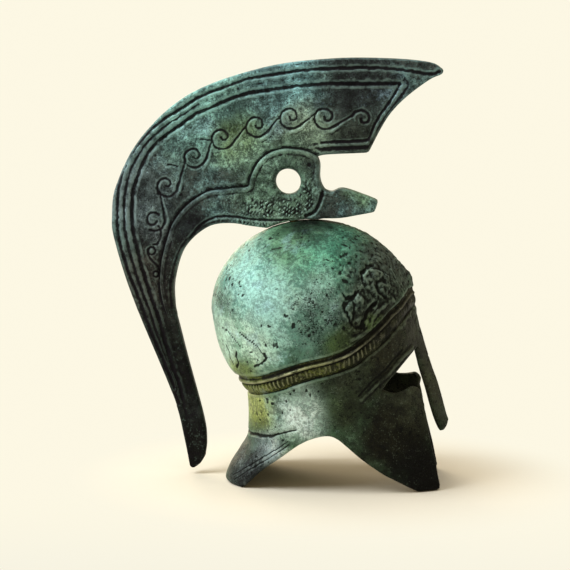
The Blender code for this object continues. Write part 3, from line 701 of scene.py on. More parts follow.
def make_face(material):
    """The shell below the band: turn by height, cut along the openings where the wall's middle meets them.

    The cut is taken half a wall inside each opening's edge, and the rounded rim reaches back out to it.
    """
    columns, rows = FACE_GRID
    turn = crowded_turns(columns, FACE_CROWDING)
    seam = band_height(turn)
    params = np.stack(np.broadcast_arrays(turn, np.linspace(0, 1, rows + 1)[:, None]), axis=-1)
    arch, face, tip = opening_outlines()

    def place(at):
        height = at[..., 1] * np.interp(at[..., 0], turn, seam)
        return shell(at[..., 0], height), shell_normal(at[..., 0], height), height

    def past(at):
        point, normal, _ = place(at)
        middle = point - normal * WALL / 2
        flat, aside = middle[..., [0, 2]], np.abs(middle[..., 1])
        worn = 0.10 * (1 + grain(middle, 5.0, 31)) / 2 + 0.05 * (1 + grain(middle, 1.7, 32)) / 2
        back = FAR_CHEEK_BACK * (middle[..., 1] > 0) * rise(-flat[..., 1], *FAR_CHEEK_BELOW)
        behind = flat + back[..., None] * (1, 0)
        beside_nasal = np.minimum(depth_in(behind, face), aside - NASAL_HALF_WIDTH)
        cut = np.maximum(depth_in(flat, arch), beside_nasal) + worn
        cut = np.maximum(cut, np.minimum(depth_in(flat, tip), 1.2 * NASAL_HALF_WIDTH - aside))
        for x, z, reach in NICKS:
            nick = reach - np.hypot(flat[..., 0] - x, flat[..., 1] - z)
            cut = np.where(middle[..., 1] < -1.3 * NASAL_HALF_WIDTH, np.maximum(cut, nick), cut)
        return np.maximum(cut, -middle[..., 2]) + WALL / 2

    moved, quads, triangles = trimmed(params, past)
    point, normal, height = place(moved)
    relief = shell_relief(point, band_gap_of(moved[..., 0], height)) + cast_skin(point, SHELL_SEED)
    outer = (point + normal * relief[..., None]).reshape(-1, 3)
    inner = (point - normal * WALL + 0.03 * grain(point, 2.0, 41)[..., None]).reshape(-1, 3)
    radius = np.full((rows + 1, columns + 1), RIM_SHARE * WALL)
    # The upper edge is hidden by the band, and stays square.
    radius[-1] = 0.02
    # The two edges of the grid at the middle of the back are one line.
    index = np.arange((rows + 1) * (columns + 1)).reshape(rows + 1, columns + 1)
    index[:, -1] = index[:, 0]
    quads, triangles = index.ravel()[quads], index.ravel()[triangles]
    body = closed_wall(outer, inner, quads, triangles, radius.ravel(), 4, lie_of(relief).ravel(), -0.1)
    return make_piece("face_and_neck_guard", *body, material, "aged_bronze", "helmet_shell")


# Ribbed band


# Section of the band: place across it from the top down, and how far it stands out, in millimetres.
BAND_SECTION = (
    (3.30, -0.85), (2.90, -0.62), (2.30, -0.58), (1.75, -0.48), (1.45, -0.20), (1.25, 0.20),
    (1.00, 0.34), (0.72, 0.28), (0.50, 0.00), (0.30, -0.12), (0.05, 0.02), (-0.35, 0.16),
    (-0.85, 0.22), (-1.35, 0.20), (-1.80, 0.10), (-2.20, -0.08), (-2.50, -0.35), (-2.70, -0.55),
    (-3.00, -0.62), (-3.50, -0.85),
)
RIBS, COLUMNS_A_RIB = 112, 10
# Row of the section along which the ribs are spaced, lean of a rib across the band, and its height.
RIB_ROW, RIB_LEAN, RIB_HEIGHT = 9, 0.10, 0.50


def make_band(material):
    """The ribbed band: its section carried round the skull, with ribs that lean back a little.

    A rib's swell is a cosine of the way round plus a share of the place across the band.
    """
    columns = RIBS * COLUMNS_A_RIB
    turn = crowded_turns(columns, SKULL_CROWDING)[:-1]
    across, out = np.array(BAND_SECTION).T
    middle = band_height(turn)
    height = middle + across[:, None] / np.sqrt(1 - band_grade(turn, 0.01) ** 2)
    turns = np.broadcast_to(turn, height.shape)
    plain = shell(turns, height)
    spaced = plain[RIB_ROW]
    step = np.linalg.norm(np.roll(spaced, -1, axis=0) - spaced, axis=1)
    way = np.concatenate([[0], np.cumsum(step)[:-1]]) / step.sum()
    swell = np.cos(2 * np.pi * (way * RIBS + RIB_LEAN * across[:, None]) + 1.8 * grain(plain, 3.0, 55))
    swell = ((1 + swell) / 2) ** 1.6 - 0.45
    ribbed = (rise(-across, -0.30, 0.05) * rise(across, -2.60, -2.15))[:, None]
    wear = 0.80 + 0.55 * grain(plain, 3.5, 51)
    worn_flat = 0.45 * bump(plain[..., 0] - 6.0, 10.0) + 0.75 * rise(plain[..., 0], 16, 26)
    front = rise(plain[..., 0], 12, 24)
    relief = out[:, None] * (1 - 0.45 * front + 0.25 * grain(plain, 4.0, 53)) - 0.22 * worn_flat
    relief += ribbed * wear * (1 - worn_flat) * RIB_HEIGHT * swell
    relief += 0.05 * grain(plain, 1.1, 52) + 0.20 * front * grain(plain, 1.7, 57)
    # The lip over the ribs is rubbed bright, but for some gaps.
    lip = bump(across - 1.0, 0.45)[:, None] * rise(grain(plain, 3.0, 56), -0.9, -0.1) * (1 - 0.8 * worn_flat)
    points = plain + shell_normal(turns, height) * relief[..., None]
    under = shell(turn, middle) - shell_normal(turn, middle) * 1.2
    points = np.vstack([points[::-1].reshape(-1, 3), under])
    a = np.arange((len(across) + 1) * columns).reshape(-1, columns)
    b = np.roll(a, -1, axis=1)
    quads = np.stack([a, b, np.roll(b, -1, axis=0), np.roll(a, -1, axis=0)], axis=-1).reshape(-1, 4)
    lie = np.vstack([(lie_of(relief, 4, 0.2) - 0.8 * lip)[::-1], np.zeros((1, columns))]).ravel()
    return make_piece("ribbed_band", points, quads, np.zeros((0, 3), int), lie, material,
                      "aged_bronze", "helmet_shell")


# Crest


def crest_place(thousandths):
    """Side-view places on the crest: heights are taken from its seat, up to its top or down to its foot."""
    shares = np.asarray(thousandths) / 1000
    seat = SKULL_HEIGHT + CLEARANCE
    above = shares[..., 1] - SEAT_SHARE
    reach = np.where(above > 0, CREST_ABOVE_SEAT / (1 - SEAT_SHARE), (seat - CREST_FOOT) / SEAT_SHARE)
    return np.stack([CREST_BACK + shares[..., 0] * CREST_LENGTH, seat + above * reach], axis=-1)


def crest_line(knots):
    return smooth_path(crest_place(knots))


def flat_3d(flat):
    """Flat side-view places as points of the plane of symmetry."""
    return np.stack([flat[..., 0], 0 * flat[..., 0], flat[..., 1]], axis=-1)


def seat_points():
    x = crest_place(np.stack([np.linspace(SEAT_FROM, SEAT_TO, 13), np.zeros(13)], axis=1))[:, 0]
    return np.stack([x, dome_height(x) + CLEARANCE], axis=1)


def holder_outline():
    edges = (HOLDER_EDGE_FRONT, HOLDER_EDGE_TOP, HOLDER_EDGE_UPPER, HOLDER_EDGE_LOWER)
    return np.vstack([seat_points(), *[crest_line(edge) for edge in edges]])


# One wave of the running scroll, along and out in SCROLL_RADIUS from its centre: the line that dips under the
# spiral, and the line that climbs over the next one and curls in.
WAVE_UNDER = ((-1.50, 0.00), (-1.30, -0.75), (-0.65, -1.38), (0.25, -1.45), (1.10, -1.05))
WAVE_OVER = ((-1.50, 0.20), (-0.98, 0.78), (-0.38, 1.00), (0.26, 0.88), (0.68, 0.42), (0.68, -0.14),
             (0.32, -0.48), (-0.12, -0.36), (-0.20, -0.02))
WAVE_LIP = ((-0.10, -2.00), (0.70, -1.80), (1.60, -1.20))
LIP_END = ((-2.10, -0.35), (-1.62, -0.05))
SPIRAL_LIP = ((-0.95, -0.30), (-1.02, 0.30), (-0.50, 0.68), (0.10, 0.62))


# Half width and depth of the scroll's cut line, and height of its lip, in millimetres.
SCROLL_HALF, SCROLL_DEPTH, SCROLL_LIP = 0.68, 0.54, 0.30


def scroll_unit(centre, ahead):
    """A wave's cut line from under this spiral to the inside of the one ahead, its light lip, and the raised
    rim of the spiral ahead."""
    along = (ahead - centre) / np.linalg.norm(ahead - centre)
    turned = np.array([along, (-along[1], along[0])]) * SCROLL_RADIUS

    def places(rows, origin):
        return origin + np.asarray(rows) @ turned

    cut = np.vstack([places(WAVE_UNDER, centre), places(WAVE_OVER, ahead)])
    lip = np.vstack([places(WAVE_LIP, centre), places(LIP_END, ahead)])
    return smooth_path(cut, 5), smooth_path(lip, 5), smooth_path(places(SPIRAL_LIP, ahead), 5)


LAST_CURL = ((0.70, 0.55), (0.15, 0.80), (-0.50, 0.60), (-0.75, 0.0), (-0.5, -0.65), (0.05, -0.75),
             (0.45, -0.30))
# Small curls and strokes down the tail, in millimetres: forward, up and reach, and places forward and up.
TAIL_CURLS = ((-52.9, 74.9, 1.2), (-51.6, 67.2, 0.9))
TAIL_STROKES = (
    ((-50.6, 83.2), (-49.7, 80.6), (-50.6, 77.6), (-52.2, 76.9)),
    ((-54.3, 75.2), (-53.6, 72.6), (-51.4, 70.2), (-49.9, 67.8), (-50.3, 65.8)),
)
# Short strokes over the scroll, in thousandths of the crest.
SCROLL_DASHES = (((278, 807), (308, 803)), ((178, 745), (205, 741)))


def border_relief(flat, deep):
    """The two grooves along the plume's outer edge, the strip between them with its own faint groove, the lip
    inside them, and the edge worn down outside them. They fade towards the tail's tip."""
    worn = 0.85 + 0.5 * grain(deep, 2.5, 83)
    outer, outer_side = line_field(flat, crest_line(GROOVE_OUTER), 6.0)
    inner, inner_side = line_field(flat, crest_line(GROOVE_INNER), 6.0)
    fade = rise(flat[..., 1], 14, 34)
    relief = -fade * worn * (0.50 * bump(outer, 0.95) + 0.62 * bump(inner, 1.05))
    between = rise(outer * outer_side, 0.3, 0.6) * rise(-inner * inner_side, 0.3, 0.6)
    share = outer / np.maximum(outer + inner, 1e-6)
    middle = 0.10 + 0.30 * rise(-flat[..., 0], 28, 52)
    relief += between * fade * (0.16 - middle * worn * bump(share - 0.48, 0.17) + 0.10 * grain(deep, 1.6, 85))
    relief += 0.14 * fade * worn * bump(inner * inner_side - 1.45, 0.55)
    return relief - 0.30 * rise(-outer * outer_side, 0.6, 2.4)


def frame_relief(flat):
    """The groove and ridges along the plume's front and under it, and the edge worn down outside them."""
    groove, side = line_field(flat, crest_line(FRONT_GROOVE), 3.0)
    ridge = line_bump(flat, crest_line(FRONT_RIDGE), 3.0, 0.75)
    low_ridge = line_bump(flat, crest_line(BOTTOM_RIDGE), 3.0, 0.7)
    outside = rise(groove * side, 0.9, 1.8) * rise(-groove, -2.95, -2.6)
    return -0.40 * bump(groove, 0.7) + 0.34 * ridge + 0.30 * low_ridge - 0.22 * outside


def scroll_marks(flat):
    """Where the running scroll, the tail's curls and the strokes are cut, and where their lips stand."""
    centres = crest_place(SCROLL)
    cuts = [(smooth_path(centres[-1] + np.array(LAST_CURL) * SCROLL_RADIUS, 5), 1.0, SCROLL_HALF)]
    lips = []
    for centre, following in zip(centres[1:], centres):
        wave, wave_lip, spiral_lip = scroll_unit(centre, following)
        cuts += [(wave, 1.0, SCROLL_HALF)]
        lips += [(wave_lip, 1.0, 0.55), (spiral_lip, 0.8, 0.5)]
    cuts += [(smooth_path(stroke, 5), 0.8, 0.55) for stroke in TAIL_STROKES]
    cuts += [(crest_place(dash), 0.9, 0.5) for dash in SCROLL_DASHES]
    cut, lip = np.zeros(flat.shape[:-1]), np.zeros(flat.shape[:-1])
    for lines, field in ((cuts, cut), (lips, lip)):
        for line, depth, half in lines:
            np.maximum(field, depth * line_bump(flat, line, 2.0, half), out=field)
    for x, z, reach in TAIL_CURLS:
        away = np.hypot(flat[..., 0] - x, flat[..., 1] - z)
        cut = np.maximum(cut, bump(away - reach, 0.55))
        lip = np.maximum(lip, bump(away, 0.6 * reach))
    return cut, lip


def plume_relief(flat):
    """Height of the crest's cast and cut lines over its flat side."""
    deep = flat_3d(flat)
    flat = flat + WANDER * np.stack([grain(deep, 1.3, 81), grain(deep, 1.3, 82)], axis=-1)
    relief = border_relief(flat, deep) + frame_relief(flat)
    relief += 0.05 * grain(deep, 0.9, 86) * (1 + grain(deep, 5.0, 87))
    cut, lip = scroll_marks(flat)
    faint = 0.72 + 0.45 * grain(deep, 2.4, 84)
    relief += faint * (SCROLL_LIP * lip - SCROLL_DEPTH * cut)
    # In front, the plume sinks towards the holder, and through its lie that trough takes oxide and painted
    # shade.
    return relief - 0.60 * rise(flat[..., 1], 50, 62) * line_bump(flat, holder_outline(), 4.0, 1.9)


# Grid steps of the plume and of the holder, in millimetres.
PLUME_CELL, HOLDER_CELL = 0.32, 0.22


def cast_plate(outline, cell, rim_of, half_of, relief_of, seed, hole=None):
    """A plate in the plane of symmetry: a fine flat grid cut to its outline, raised to half_of plus the
    relief on both sides alike, each side with its own cast skin, and joined by a rounded rim."""
    low, high = outline.min(0) - 1, outline.max(0) + 1
    along, up = [np.arange(low[axis], high[axis], cell) for axis in (0, 1)]
    params = np.stack(np.meshgrid(along, up), axis=-1)

    def past(at):
        cut = rim_of(at) - depth_in(at, outline, 3.0)
        return cut if hole is None else np.maximum(cut, hole(at))

    moved, quads, triangles = trimmed(params, past)
    relief, place, radius = relief_of(moved), flat_3d(moved), rim_of(moved)
    # The crest's rims are given a ridge's lie, for a painted highlight along the rounded edge with some rubbed
    # wear.
    rim_lie = np.full(radius.shape, -0.40)
    if hole is not None:
        by_hole = hole(moved) > -0.3
        radius = np.where(by_hole, EYELET_ROUND, radius)
        # The eyelet's bore is given a low lie: painted shade inside the hole.
        rim_lie[by_hole] = 0.25
    sides = []
    for way in (-1, 1):
        skin = relief + cast_skin(place + (0, 20 * way, 0), seed)
        sides.append((place + (way * (half_of(moved) + skin))[..., None] * (0, 1, 0)).reshape(-1, 3))
    lie = lie_of(relief + 0.6 * skin, 6, 0.22).ravel()
    return closed_wall(*sides, quads, triangles, radius.ravel(), 3, lie, rim_lie.ravel())


def make_plume(material):
    """The plume, with a rim that thins towards its pointed front and tail."""
    edges = [crest_line(edge) for edge in (CREST_OUTER, TAIL_TIP, PLUME_INNER[::-1], PLUME_FRONT[::-1])]
    tip, tail = crest_place([CREST_OUTER[0], TAIL_TIP[2]])

    def rim_of(at):
        from_tip, from_tail = [np.linalg.norm(at - end, axis=-1) for end in (tip, tail)]
        return 0.85 - 0.62 * np.maximum(bump(from_tip, 16), bump(from_tail, 9))

    def half_of(at):
        return CREST_THICKNESS / 2 - 0.5 * rise(-at[..., 1], -60, -5)

    body = cast_plate(np.vstack(edges), PLUME_CELL, rim_of, half_of, plume_relief, 61)
    return make_piece("plume", *body, material, "dark_bronze", "crest")


# A dent in the ring's front, in thousandths of the crest.
RING_NICK = (603, 748)


# From one row of punch marks to the next, and from one mark to the next, in millimetres.
PUNCH_ROW, PUNCH_STEP = 1.55, 1.25


def holder_relief(flat):
    """Height of the holder's cast lines: the bead round the ring and along the tail, the line behind the
    beast's head, the line over the seat, and the punch marks."""
    deep = flat_3d(flat)
    edge = line_field(flat, crest_line(HOLDER_EDGE_UPPER), 4.0)[0]
    edge = np.minimum(edge, line_field(flat, crest_line(HOLDER_EDGE_TOP[3:]), 4.0)[0])
    low_edge = line_field(flat, crest_line(HOLDER_EDGE_LOWER), 4.0)[0]
    head = line_field(flat, crest_line(HEAD_LINE), 3.0)[0]
    under = line_field(flat, crest_line(UNDER_LINE), 4.0)[0]
    x, z = flat[..., 0], flat[..., 1]
    worn = 0.85 + 0.3 * grain(deep, 2.2, 75)
    relief = 0.18 * worn * bump(edge - 0.95, 0.65) - 0.06 * bump(edge - 1.8, 0.6)
    relief += 0.11 * grain(deep, 1.3, 77)
    relief -= 0.70 * bump(head, 1.05) + 0.45 * bump(under, 0.8)
    relief -= 0.35 * rise(-low_edge, -1.6, -0.9) * rise(-x, 26, 30)
    relief -= 0.40 * bump(np.linalg.norm(flat - crest_place(RING_NICK), axis=-1), 1.1)
    punched = rise(x, -36, -20) * rise(-x, -1.5, 0.5) * rise(-z, -95.0, -90.5)
    punched = np.maximum(punched, rise(x, -5.5, -3.5) * rise(-x, -0.5, 0.5) * rise(-z, -103, -96))
    punched = punched * rise(under, 0.5, 1.2) * rise(head, 0.8, 1.6)
    # Short punched strokes that lean forward, in rows set half a stroke apart.
    x, z = x + 0.65 * grain(deep, 1.8, 71), z + 0.65 * grain(deep, 1.8, 72)
    row = (0.50 * x + 0.87 * z) / PUNCH_ROW
    lean = (0.87 * x - 0.50 * z) / PUNCH_STEP + 0.5 * np.floor(row)
    marks = np.maximum(np.cos(2 * np.pi * lean), 0) * np.maximum(np.cos(2 * np.pi * (row - 0.5)) + 0.55, 0)
    return relief + punched * (0.30 * marks * (1 + 0.8 * grain(deep, 2.0, 76)) - 0.14)


def make_holder(material):
    """The holder: ring, beast's head, seat and tail band, with the eyelet through it."""
    centre = crest_place(EYELET_CENTRE)

    def rim_of(at):
        return np.full(at.shape[:-1], 0.75)

    def half_of(at):
        return HOLDER_THICKNESS / 2 - 1.0 * rise(-at[..., 1], -63, -48)

    def eyelet(at):
        return EYELET_RADIUS + EYELET_ROUND - np.linalg.norm(at - centre, axis=-1)

    body = cast_plate(holder_outline(), HOLDER_CELL, rim_of, half_of, holder_relief, 73, eyelet)
    return make_piece("crest_holder", *body, material, "dark_bronze", "crest")


# Materials


def colour(text):
    """A screen colour such as 7fa08a as linear light."""
    parts = [int(text[i : i + 2], 16) / 255 for i in (0, 2, 4)]
    return (*[part / 12.92 if part <= 0.04045 else ((part + 0.055) / 1.055) ** 2.4 for part in parts], 1.0)


def fill(tree, node, inputs):
    """A node's inputs linked or filled in, by place or name."""
    for key, value in inputs.items():
        if isinstance(value, bpy.types.NodeSocket):
            tree.links.new(value, node.inputs[key])
        else:
            node.inputs[key].default_value = value


def put(tree, kind, inputs, **settings):
    """A shader node with its settings made and its inputs filled in."""
    made = tree.nodes.new("ShaderNode" + kind)
    for name, value in settings.items():
        setattr(made, name, value)
    fill(tree, made, inputs)
    return made


def maths(tree, operation, a, b=0.0, clamp=False):
    return put(tree, "Math", {0: a, 1: b}, operation=operation, use_clamp=clamp).outputs[0]


def times(tree, a, b):
    return maths(tree, "MULTIPLY", a, b)


def weighed(tree, *parts):
    """The sum of some values, each times its weight."""
    total, *rest = [times(tree, value, weight) for value, weight in parts]
    for part in rest:
        total = maths(tree, "ADD", total, part)
    return total


def mixed(tree, share, a, b, kind="MIX"):
    """Colour a turned into colour b by this share."""
    return put(tree, "Mix", {0: share, 6: a, 7: b}, data_type="RGBA", blend_type=kind).outputs[2]


def lerp(tree, share, a, b):
    """Number a turned into number b by this share."""
    return put(tree, "Mix", {0: share, 2: a, 3: b}, data_type="FLOAT").outputs[0]


def climb(tree, value, low, high, start=0.0, end=1.0):
    """A smooth climb from start at low to end at high."""
    inputs = {"Value": value, "From Min": low, "From Max": high, "To Min": start, "To Max": end}
    return put(tree, "MapRange", inputs, interpolation_type="SMOOTHSTEP").outputs[0]


def clouds(tree, place, noise, offset=None):
    """A noise field: scale per metre, detail and roughness."""
    scale, detail, rough = noise
    if offset:
        place = put(tree, "Mapping", {0: place, 1: offset}).outputs[0]
    inputs = {"Vector": place, "Scale": scale, "Detail": detail, "Roughness": rough}
    return put(tree, "TexNoise", inputs).outputs["Fac"]


def new_group(name, inputs, outputs):
    """An empty node group with named sockets, and its ends."""
    tree = bpy.data.node_groups.new(name, "ShaderNodeTree")
    for label, kind in inputs:
        tree.interface.new_socket(label, in_out="INPUT", socket_type="NodeSocket" + kind)
    for label, kind in outputs:
        tree.interface.new_socket(label, in_out="OUTPUT", socket_type="NodeSocket" + kind)
    return tree, tree.nodes.new("NodeGroupInput").outputs, tree.nodes.new("NodeGroupOutput").inputs


# Noise fields of the patina: scale per metre, detail and roughness.
BROAD, MIDDLE, OTHER = (70.0, 5.0, 0.62), (330.0, 5.0, 0.68), (190.0, 6.0, 0.7)
FINE, MICRO, DRIFT = (1000.0, 4.0, 0.70), (2300.0, 3.0, 0.75), (85.0, 4.0, 0.6)
PATCH_EDGE = (120.0, 5.0, 0.6)
BLUE_BLOOM, OLIVE_BLOOM = "8aa9c4", "6f8457"


def patina_group():
    """Aged bronze: body colour, lighter bloom, oxide and painted shade in pits and crevices, rubbed ridges,
    painted rim highlights.
    """
    tree, given, made = new_group(
        "patina",
        (("Place", "Vector"), ("Lie", "Float"), ("Body", "Color"), ("Bloom", "Color"), ("Oxide", "Color"),
         ("Rubbed", "Color"), ("Bloom Share", "Float"), ("Oxide Share", "Float"), ("Grain", "Float")),
        (("Colour", "Color"), ("Roughness", "Float"), ("Metal", "Float"), ("Height", "Float")),
    )
    place, bloom_share = given["Place"], given["Bloom Share"]
    broad, middle, fine, micro = [clouds(tree, place, noise) for noise in (BROAD, MIDDLE, FINE, MICRO)]
    drift = clouds(tree, place, DRIFT, (0.61, 0.07, 0.49))
    other = clouds(tree, place, OTHER, (0.37, 0.11, 0.23))

    # Tone of the body, from cloud to cloud and from grain to grain.
    tone = weighed(tree, (middle, 0.28), (fine, 0.40), (micro, 0.32))
    # Dark metal is mottled more than pale bloom.
    power = times(tree, given["Grain"], lerp(tree, bloom_share, 2.1, 0.35))
    shade = maths(tree, "POWER", climb(tree, tone, 0.43, 0.57, 0.30, 1.75), power)
    grey = put(tree, "CombineColor", {0: shade, 1: shade, 2: shade}).outputs[0]
    body = mixed(tree, 1.0, given["Body"], grey, "MULTIPLY")

    # Bloom lies in clouds with a broken edge.
    field = weighed(tree, (broad, 0.45), (other, 0.35), (fine, 0.20))
    over = maths(tree, "SUBTRACT", field, lerp(tree, bloom_share, 0.70, 0.30))
    # It drifts towards blue in some places and towards olive in others.
    tint = mixed(tree, climb(tree, drift, 0.54, 0.68, 0.0, 0.30), given["Bloom"], colour(BLUE_BLOOM))
    tint = mixed(tree, climb(tree, drift, 0.46, 0.34, 0.0, 0.22), tint, colour(OLIVE_BLOOM))
    look = mixed(tree, climb(tree, over, -0.035, 0.05), body, mixed(tree, 1.0, tint, grey, "MULTIPLY"))

    # Dark oxide and painted shade: specks, and everything that lies low. Pale flecks lie where the speck field
    # is least.
    speck = weighed(tree, (fine, 0.38), (other, 0.22), (micro, 0.40))
    bar = lerp(tree, given["Oxide Share"], 0.64, 0.42)
    specks = climb(tree, maths(tree, "SUBTRACT", speck, bar), -0.006, 0.020)
    flecks = times(tree, climb(tree, speck, 0.46, 0.41), 0.62)
    look = mixed(tree, flecks, look, mixed(tree, 0.78, given["Rubbed"], given["Bloom"]))
    dark = maths(tree, "MAXIMUM", specks, climb(tree, given["Lie"], 0.10, 0.60), clamp=True)
    look = mixed(tree, times(tree, dark, 0.94), look, given["Oxide"])

    # Ridges are rubbed lighter, and a lip that lies past -1 is bright. Rims given a ridge's lie get a painted
    # highlight.
    stands = times(tree, given["Lie"], -1.0)
    high = times(tree, climb(tree, stands, 0.10, 0.70), climb(tree, bloom_share, 0.15, 0.42, 0.35, 1.0))
    rubbed_and_highlight = times(tree, high, climb(tree, middle, 0.34, 0.56, 0.15, 0.85))
    look = mixed(tree, rubbed_and_highlight, look, mixed(tree, 0.7, given["Rubbed"], given["Bloom"]))
    bright = times(tree, times(tree, climb(tree, stands, 1.05, 1.60), high), 0.85)
    tree.links.new(mixed(tree, bright, look, given["Rubbed"]), made["Colour"])

    rough = maths(tree, "ADD", climb(tree, middle, 0.35, 0.65, 0.40, 0.62), times(tree, dark, 0.12))
    tree.links.new(maths(tree, "SUBTRACT", rough, times(tree, rubbed_and_highlight, 0.10)), made["Roughness"])
    tree.links.new(maths(tree, "ADD", 0.18, times(tree, rubbed_and_highlight, 0.35)), made["Metal"])
    height = weighed(tree, (fine, 0.45), (middle, 0.55))
    tree.links.new(maths(tree, "SUBTRACT", height, times(tree, specks, 0.25)), made["Height"])
    return tree


def patch_group():
    """Where a patch of another patina lies: 1 at its centre line across the object, 0 past its reach."""
    tree, given, made = new_group(
        "patch", (("Place", "Vector"), ("Centre", "Vector"), ("Reach", "Float")), (("Share", "Float"),)
    )
    away = put(tree, "VectorMath", {0: given["Place"], 1: given["Centre"]}, operation="SUBTRACT").outputs[0]
    flat = put(tree, "VectorMath", {0: away, 1: (1.0, 0.0, 1.0)}, operation="MULTIPLY").outputs[0]
    length = put(tree, "VectorMath", {0: flat}, operation="LENGTH").outputs["Value"]
    share = maths(tree, "DIVIDE", length, given["Reach"])
    ragged = times(tree, maths(tree, "SUBTRACT", clouds(tree, given["Place"], PATCH_EDGE), 0.5), 1.1)
    tree.links.new(climb(tree, maths(tree, "ADD", share, ragged), 1.30, 0.30), made["Share"])
    return tree


def patina_material(name, groups, colours, shares, patches, bump_depth, mottle):
    """Principled bronze with the patina group, and patches that change its body colour and its shares."""
    material = bpy.data.materials.new(name)
    material.use_nodes = True
    tree = material.node_tree
    place = tree.nodes.new("ShaderNodeTexCoord").outputs["Object"]
    lie = put(tree, "Attribute", {}, attribute_name="lie", attribute_type="GEOMETRY").outputs["Fac"]
    body, bloom, oxide, rubbed_and_highlight = [colour(text) for text in colours]
    bloom_share, oxide_share = shares
    for x, z, reach, patch_body, patch_bloom, patch_bloom_share, patch_oxide_share in patches:
        inputs = {"Place": place, "Centre": ((x + AXIS_X) * MM, 0.0, z * MM), "Reach": reach * MM}
        share = put(tree, "Group", inputs, node_tree=groups["patch"]).outputs["Share"]
        body = mixed(tree, share, body, colour(patch_body))
        bloom = mixed(tree, share, bloom, colour(patch_bloom))
        bloom_share = lerp(tree, share, bloom_share, patch_bloom_share)
        oxide_share = lerp(tree, share, oxide_share, patch_oxide_share)
    inputs = {"Place": place, "Lie": lie, "Body": body, "Bloom": bloom, "Oxide": oxide, "Rubbed": rubbed_and_highlight,
              "Bloom Share": bloom_share, "Oxide Share": oxide_share, "Grain": mottle}
    patina = put(tree, "Group", inputs, node_tree=groups["patina"]).outputs
    relief = put(tree, "Bump", {"Strength": 1.0, "Distance": bump_depth, "Height": patina["Height"]})
    fill(tree, tree.nodes["Principled BSDF"], {
        "Base Color": patina["Colour"], "Roughness": patina["Roughness"], "Metallic": patina["Metal"],
        "Normal": relief.outputs["Normal"], "Specular IOR Level": 0.12,
    })
    return material


# Patches of the shell: forward and up in millimetres, reach, body, bloom, share of bloom, share of oxide.
SHELL_PATCHES = (
    (-14.0, 64.0, 22.0, "63978f", "95c4bd", 0.70, 0.16),
    (-30.0, 57.0, 9.0, "5a7866", "8fb0a2", 0.50, 0.58),
    (-22.0, 46.0, 13.0, "82a793", "b3d2c0", 0.65, 0.24),
    (-5.0, 81.0, 14.0, "3c5f47", "587f62", 0.50, 0.28),
    (9.0, 73.0, 14.0, "386a58", "62a68c", 0.45, 0.36),
    (6.0, 58.0, 15.0, "5b7f73", "9bc2b9", 0.50, 0.57),
    (26.0, 72.0, 14.0, "4a5750", "76887e", 0.40, 0.54),
    (20.0, 62.0, 12.0, "2d3a33", "64786d", 0.44, 0.52),
    (11.0, 49.0, 7.0, "435a36", "66814e", 0.40, 0.42),
    (-21.0, 38.0, 6.0, "66794a", "8a9c62", 0.45, 0.30),
    # A dark ring on the dome round the crest's seat: dark patina with a painted contact shadow under the crest.
    (0.0, 91.0, 12.0, "0d1410", "1f2d25", 0.20, 0.50),
    (25.0, 47.0, 16.0, "24251a", "3d4230", 0.30, 0.52),
    (38.0, 46.0, 11.0, "2f322a", "505748", 0.32, 0.48),
    (-18.0, 26.0, 8.0, "727d44", "949f62", 0.50, 0.20),
    # A pale patch where the side turns to the neck: pale patina with a painted highlight where the light falls.
    (-1.0, 26.0, 10.0, "9bb6af", "c2d5d3", 0.60, 0.16),
    (-12.0, 12.0, 7.0, "7c8f91", "b2c0c3", 0.52, 0.42),
    (-20.0, 5.0, 10.0, "2e3336", "6f7b80", 0.42, 0.58),
    (21.0, 55.5, 3.2, "3e4f30", "586b41", 0.42, 0.40),
    (12.0, 36.0, 10.0, "2a3124", "455041", 0.35, 0.50),
    (12.0, 27.0, 8.0, "33422e", "54694c", 0.38, 0.44),
    (27.0, 20.0, 19.0, "17180e", "2d2f1d", 0.25, 0.50),
    (40.0, 33.0, 15.0, "32362a", "4d5343", 0.32, 0.48),
    (38.0, 4.0, 16.0, "020202", "060605", 0.10, 0.50),
)
CREST_PATCHES = (
    (-34.0, 122.0, 20.0, "466462", "84b6b0", 0.53, 0.43),
    (-8.0, 132.0, 16.0, "3f585b", "75a3a8", 0.50, 0.44),
    (16.0, 130.0, 16.0, "282f30", "465656", 0.38, 0.48),
    (-24.0, 111.0, 10.0, "43563c", "688261", 0.48, 0.32),
    (-2.0, 113.0, 11.0, "5f7263", "8ba292", 0.45, 0.40),
    (15.0, 112.0, 9.0, "2c332d", "506056", 0.33, 0.50),
    (-12.0, 97.0, 16.0, "4e695b", "84a799", 0.48, 0.42),
    (-11.0, 88.0, 8.0, "5a7667", "94b6a9", 0.50, 0.42),
    (-41.0, 84.0, 9.0, "202628", "384345", 0.33, 0.54),
    (17.0, 98.0, 8.0, "4c6650", "6f9074", 0.50, 0.35),
    (-58.0, 92.0, 16.0, "434f51", "7b8f97", 0.46, 0.52),
    (-54.0, 62.0, 20.0, "2e2d2a", "555954", 0.36, 0.52),
    (-50.0, 80.0, 5.0, "3c4446", "737f84", 0.46, 0.50),
    (-48.0, 34.0, 24.0, "11130f", "1f2521", 0.15, 0.50),
    (-40.0, 8.0, 20.0, "070706", "14140f", 0.10, 0.50),
)
BAND_PATCHES = (
    (-20.0, 33.0, 9.0, "4a5629", "767f40", 0.45, 0.40),
    (26.0, 56.0, 22.0, "1d2016", "383e2e", 0.24, 0.50),
)


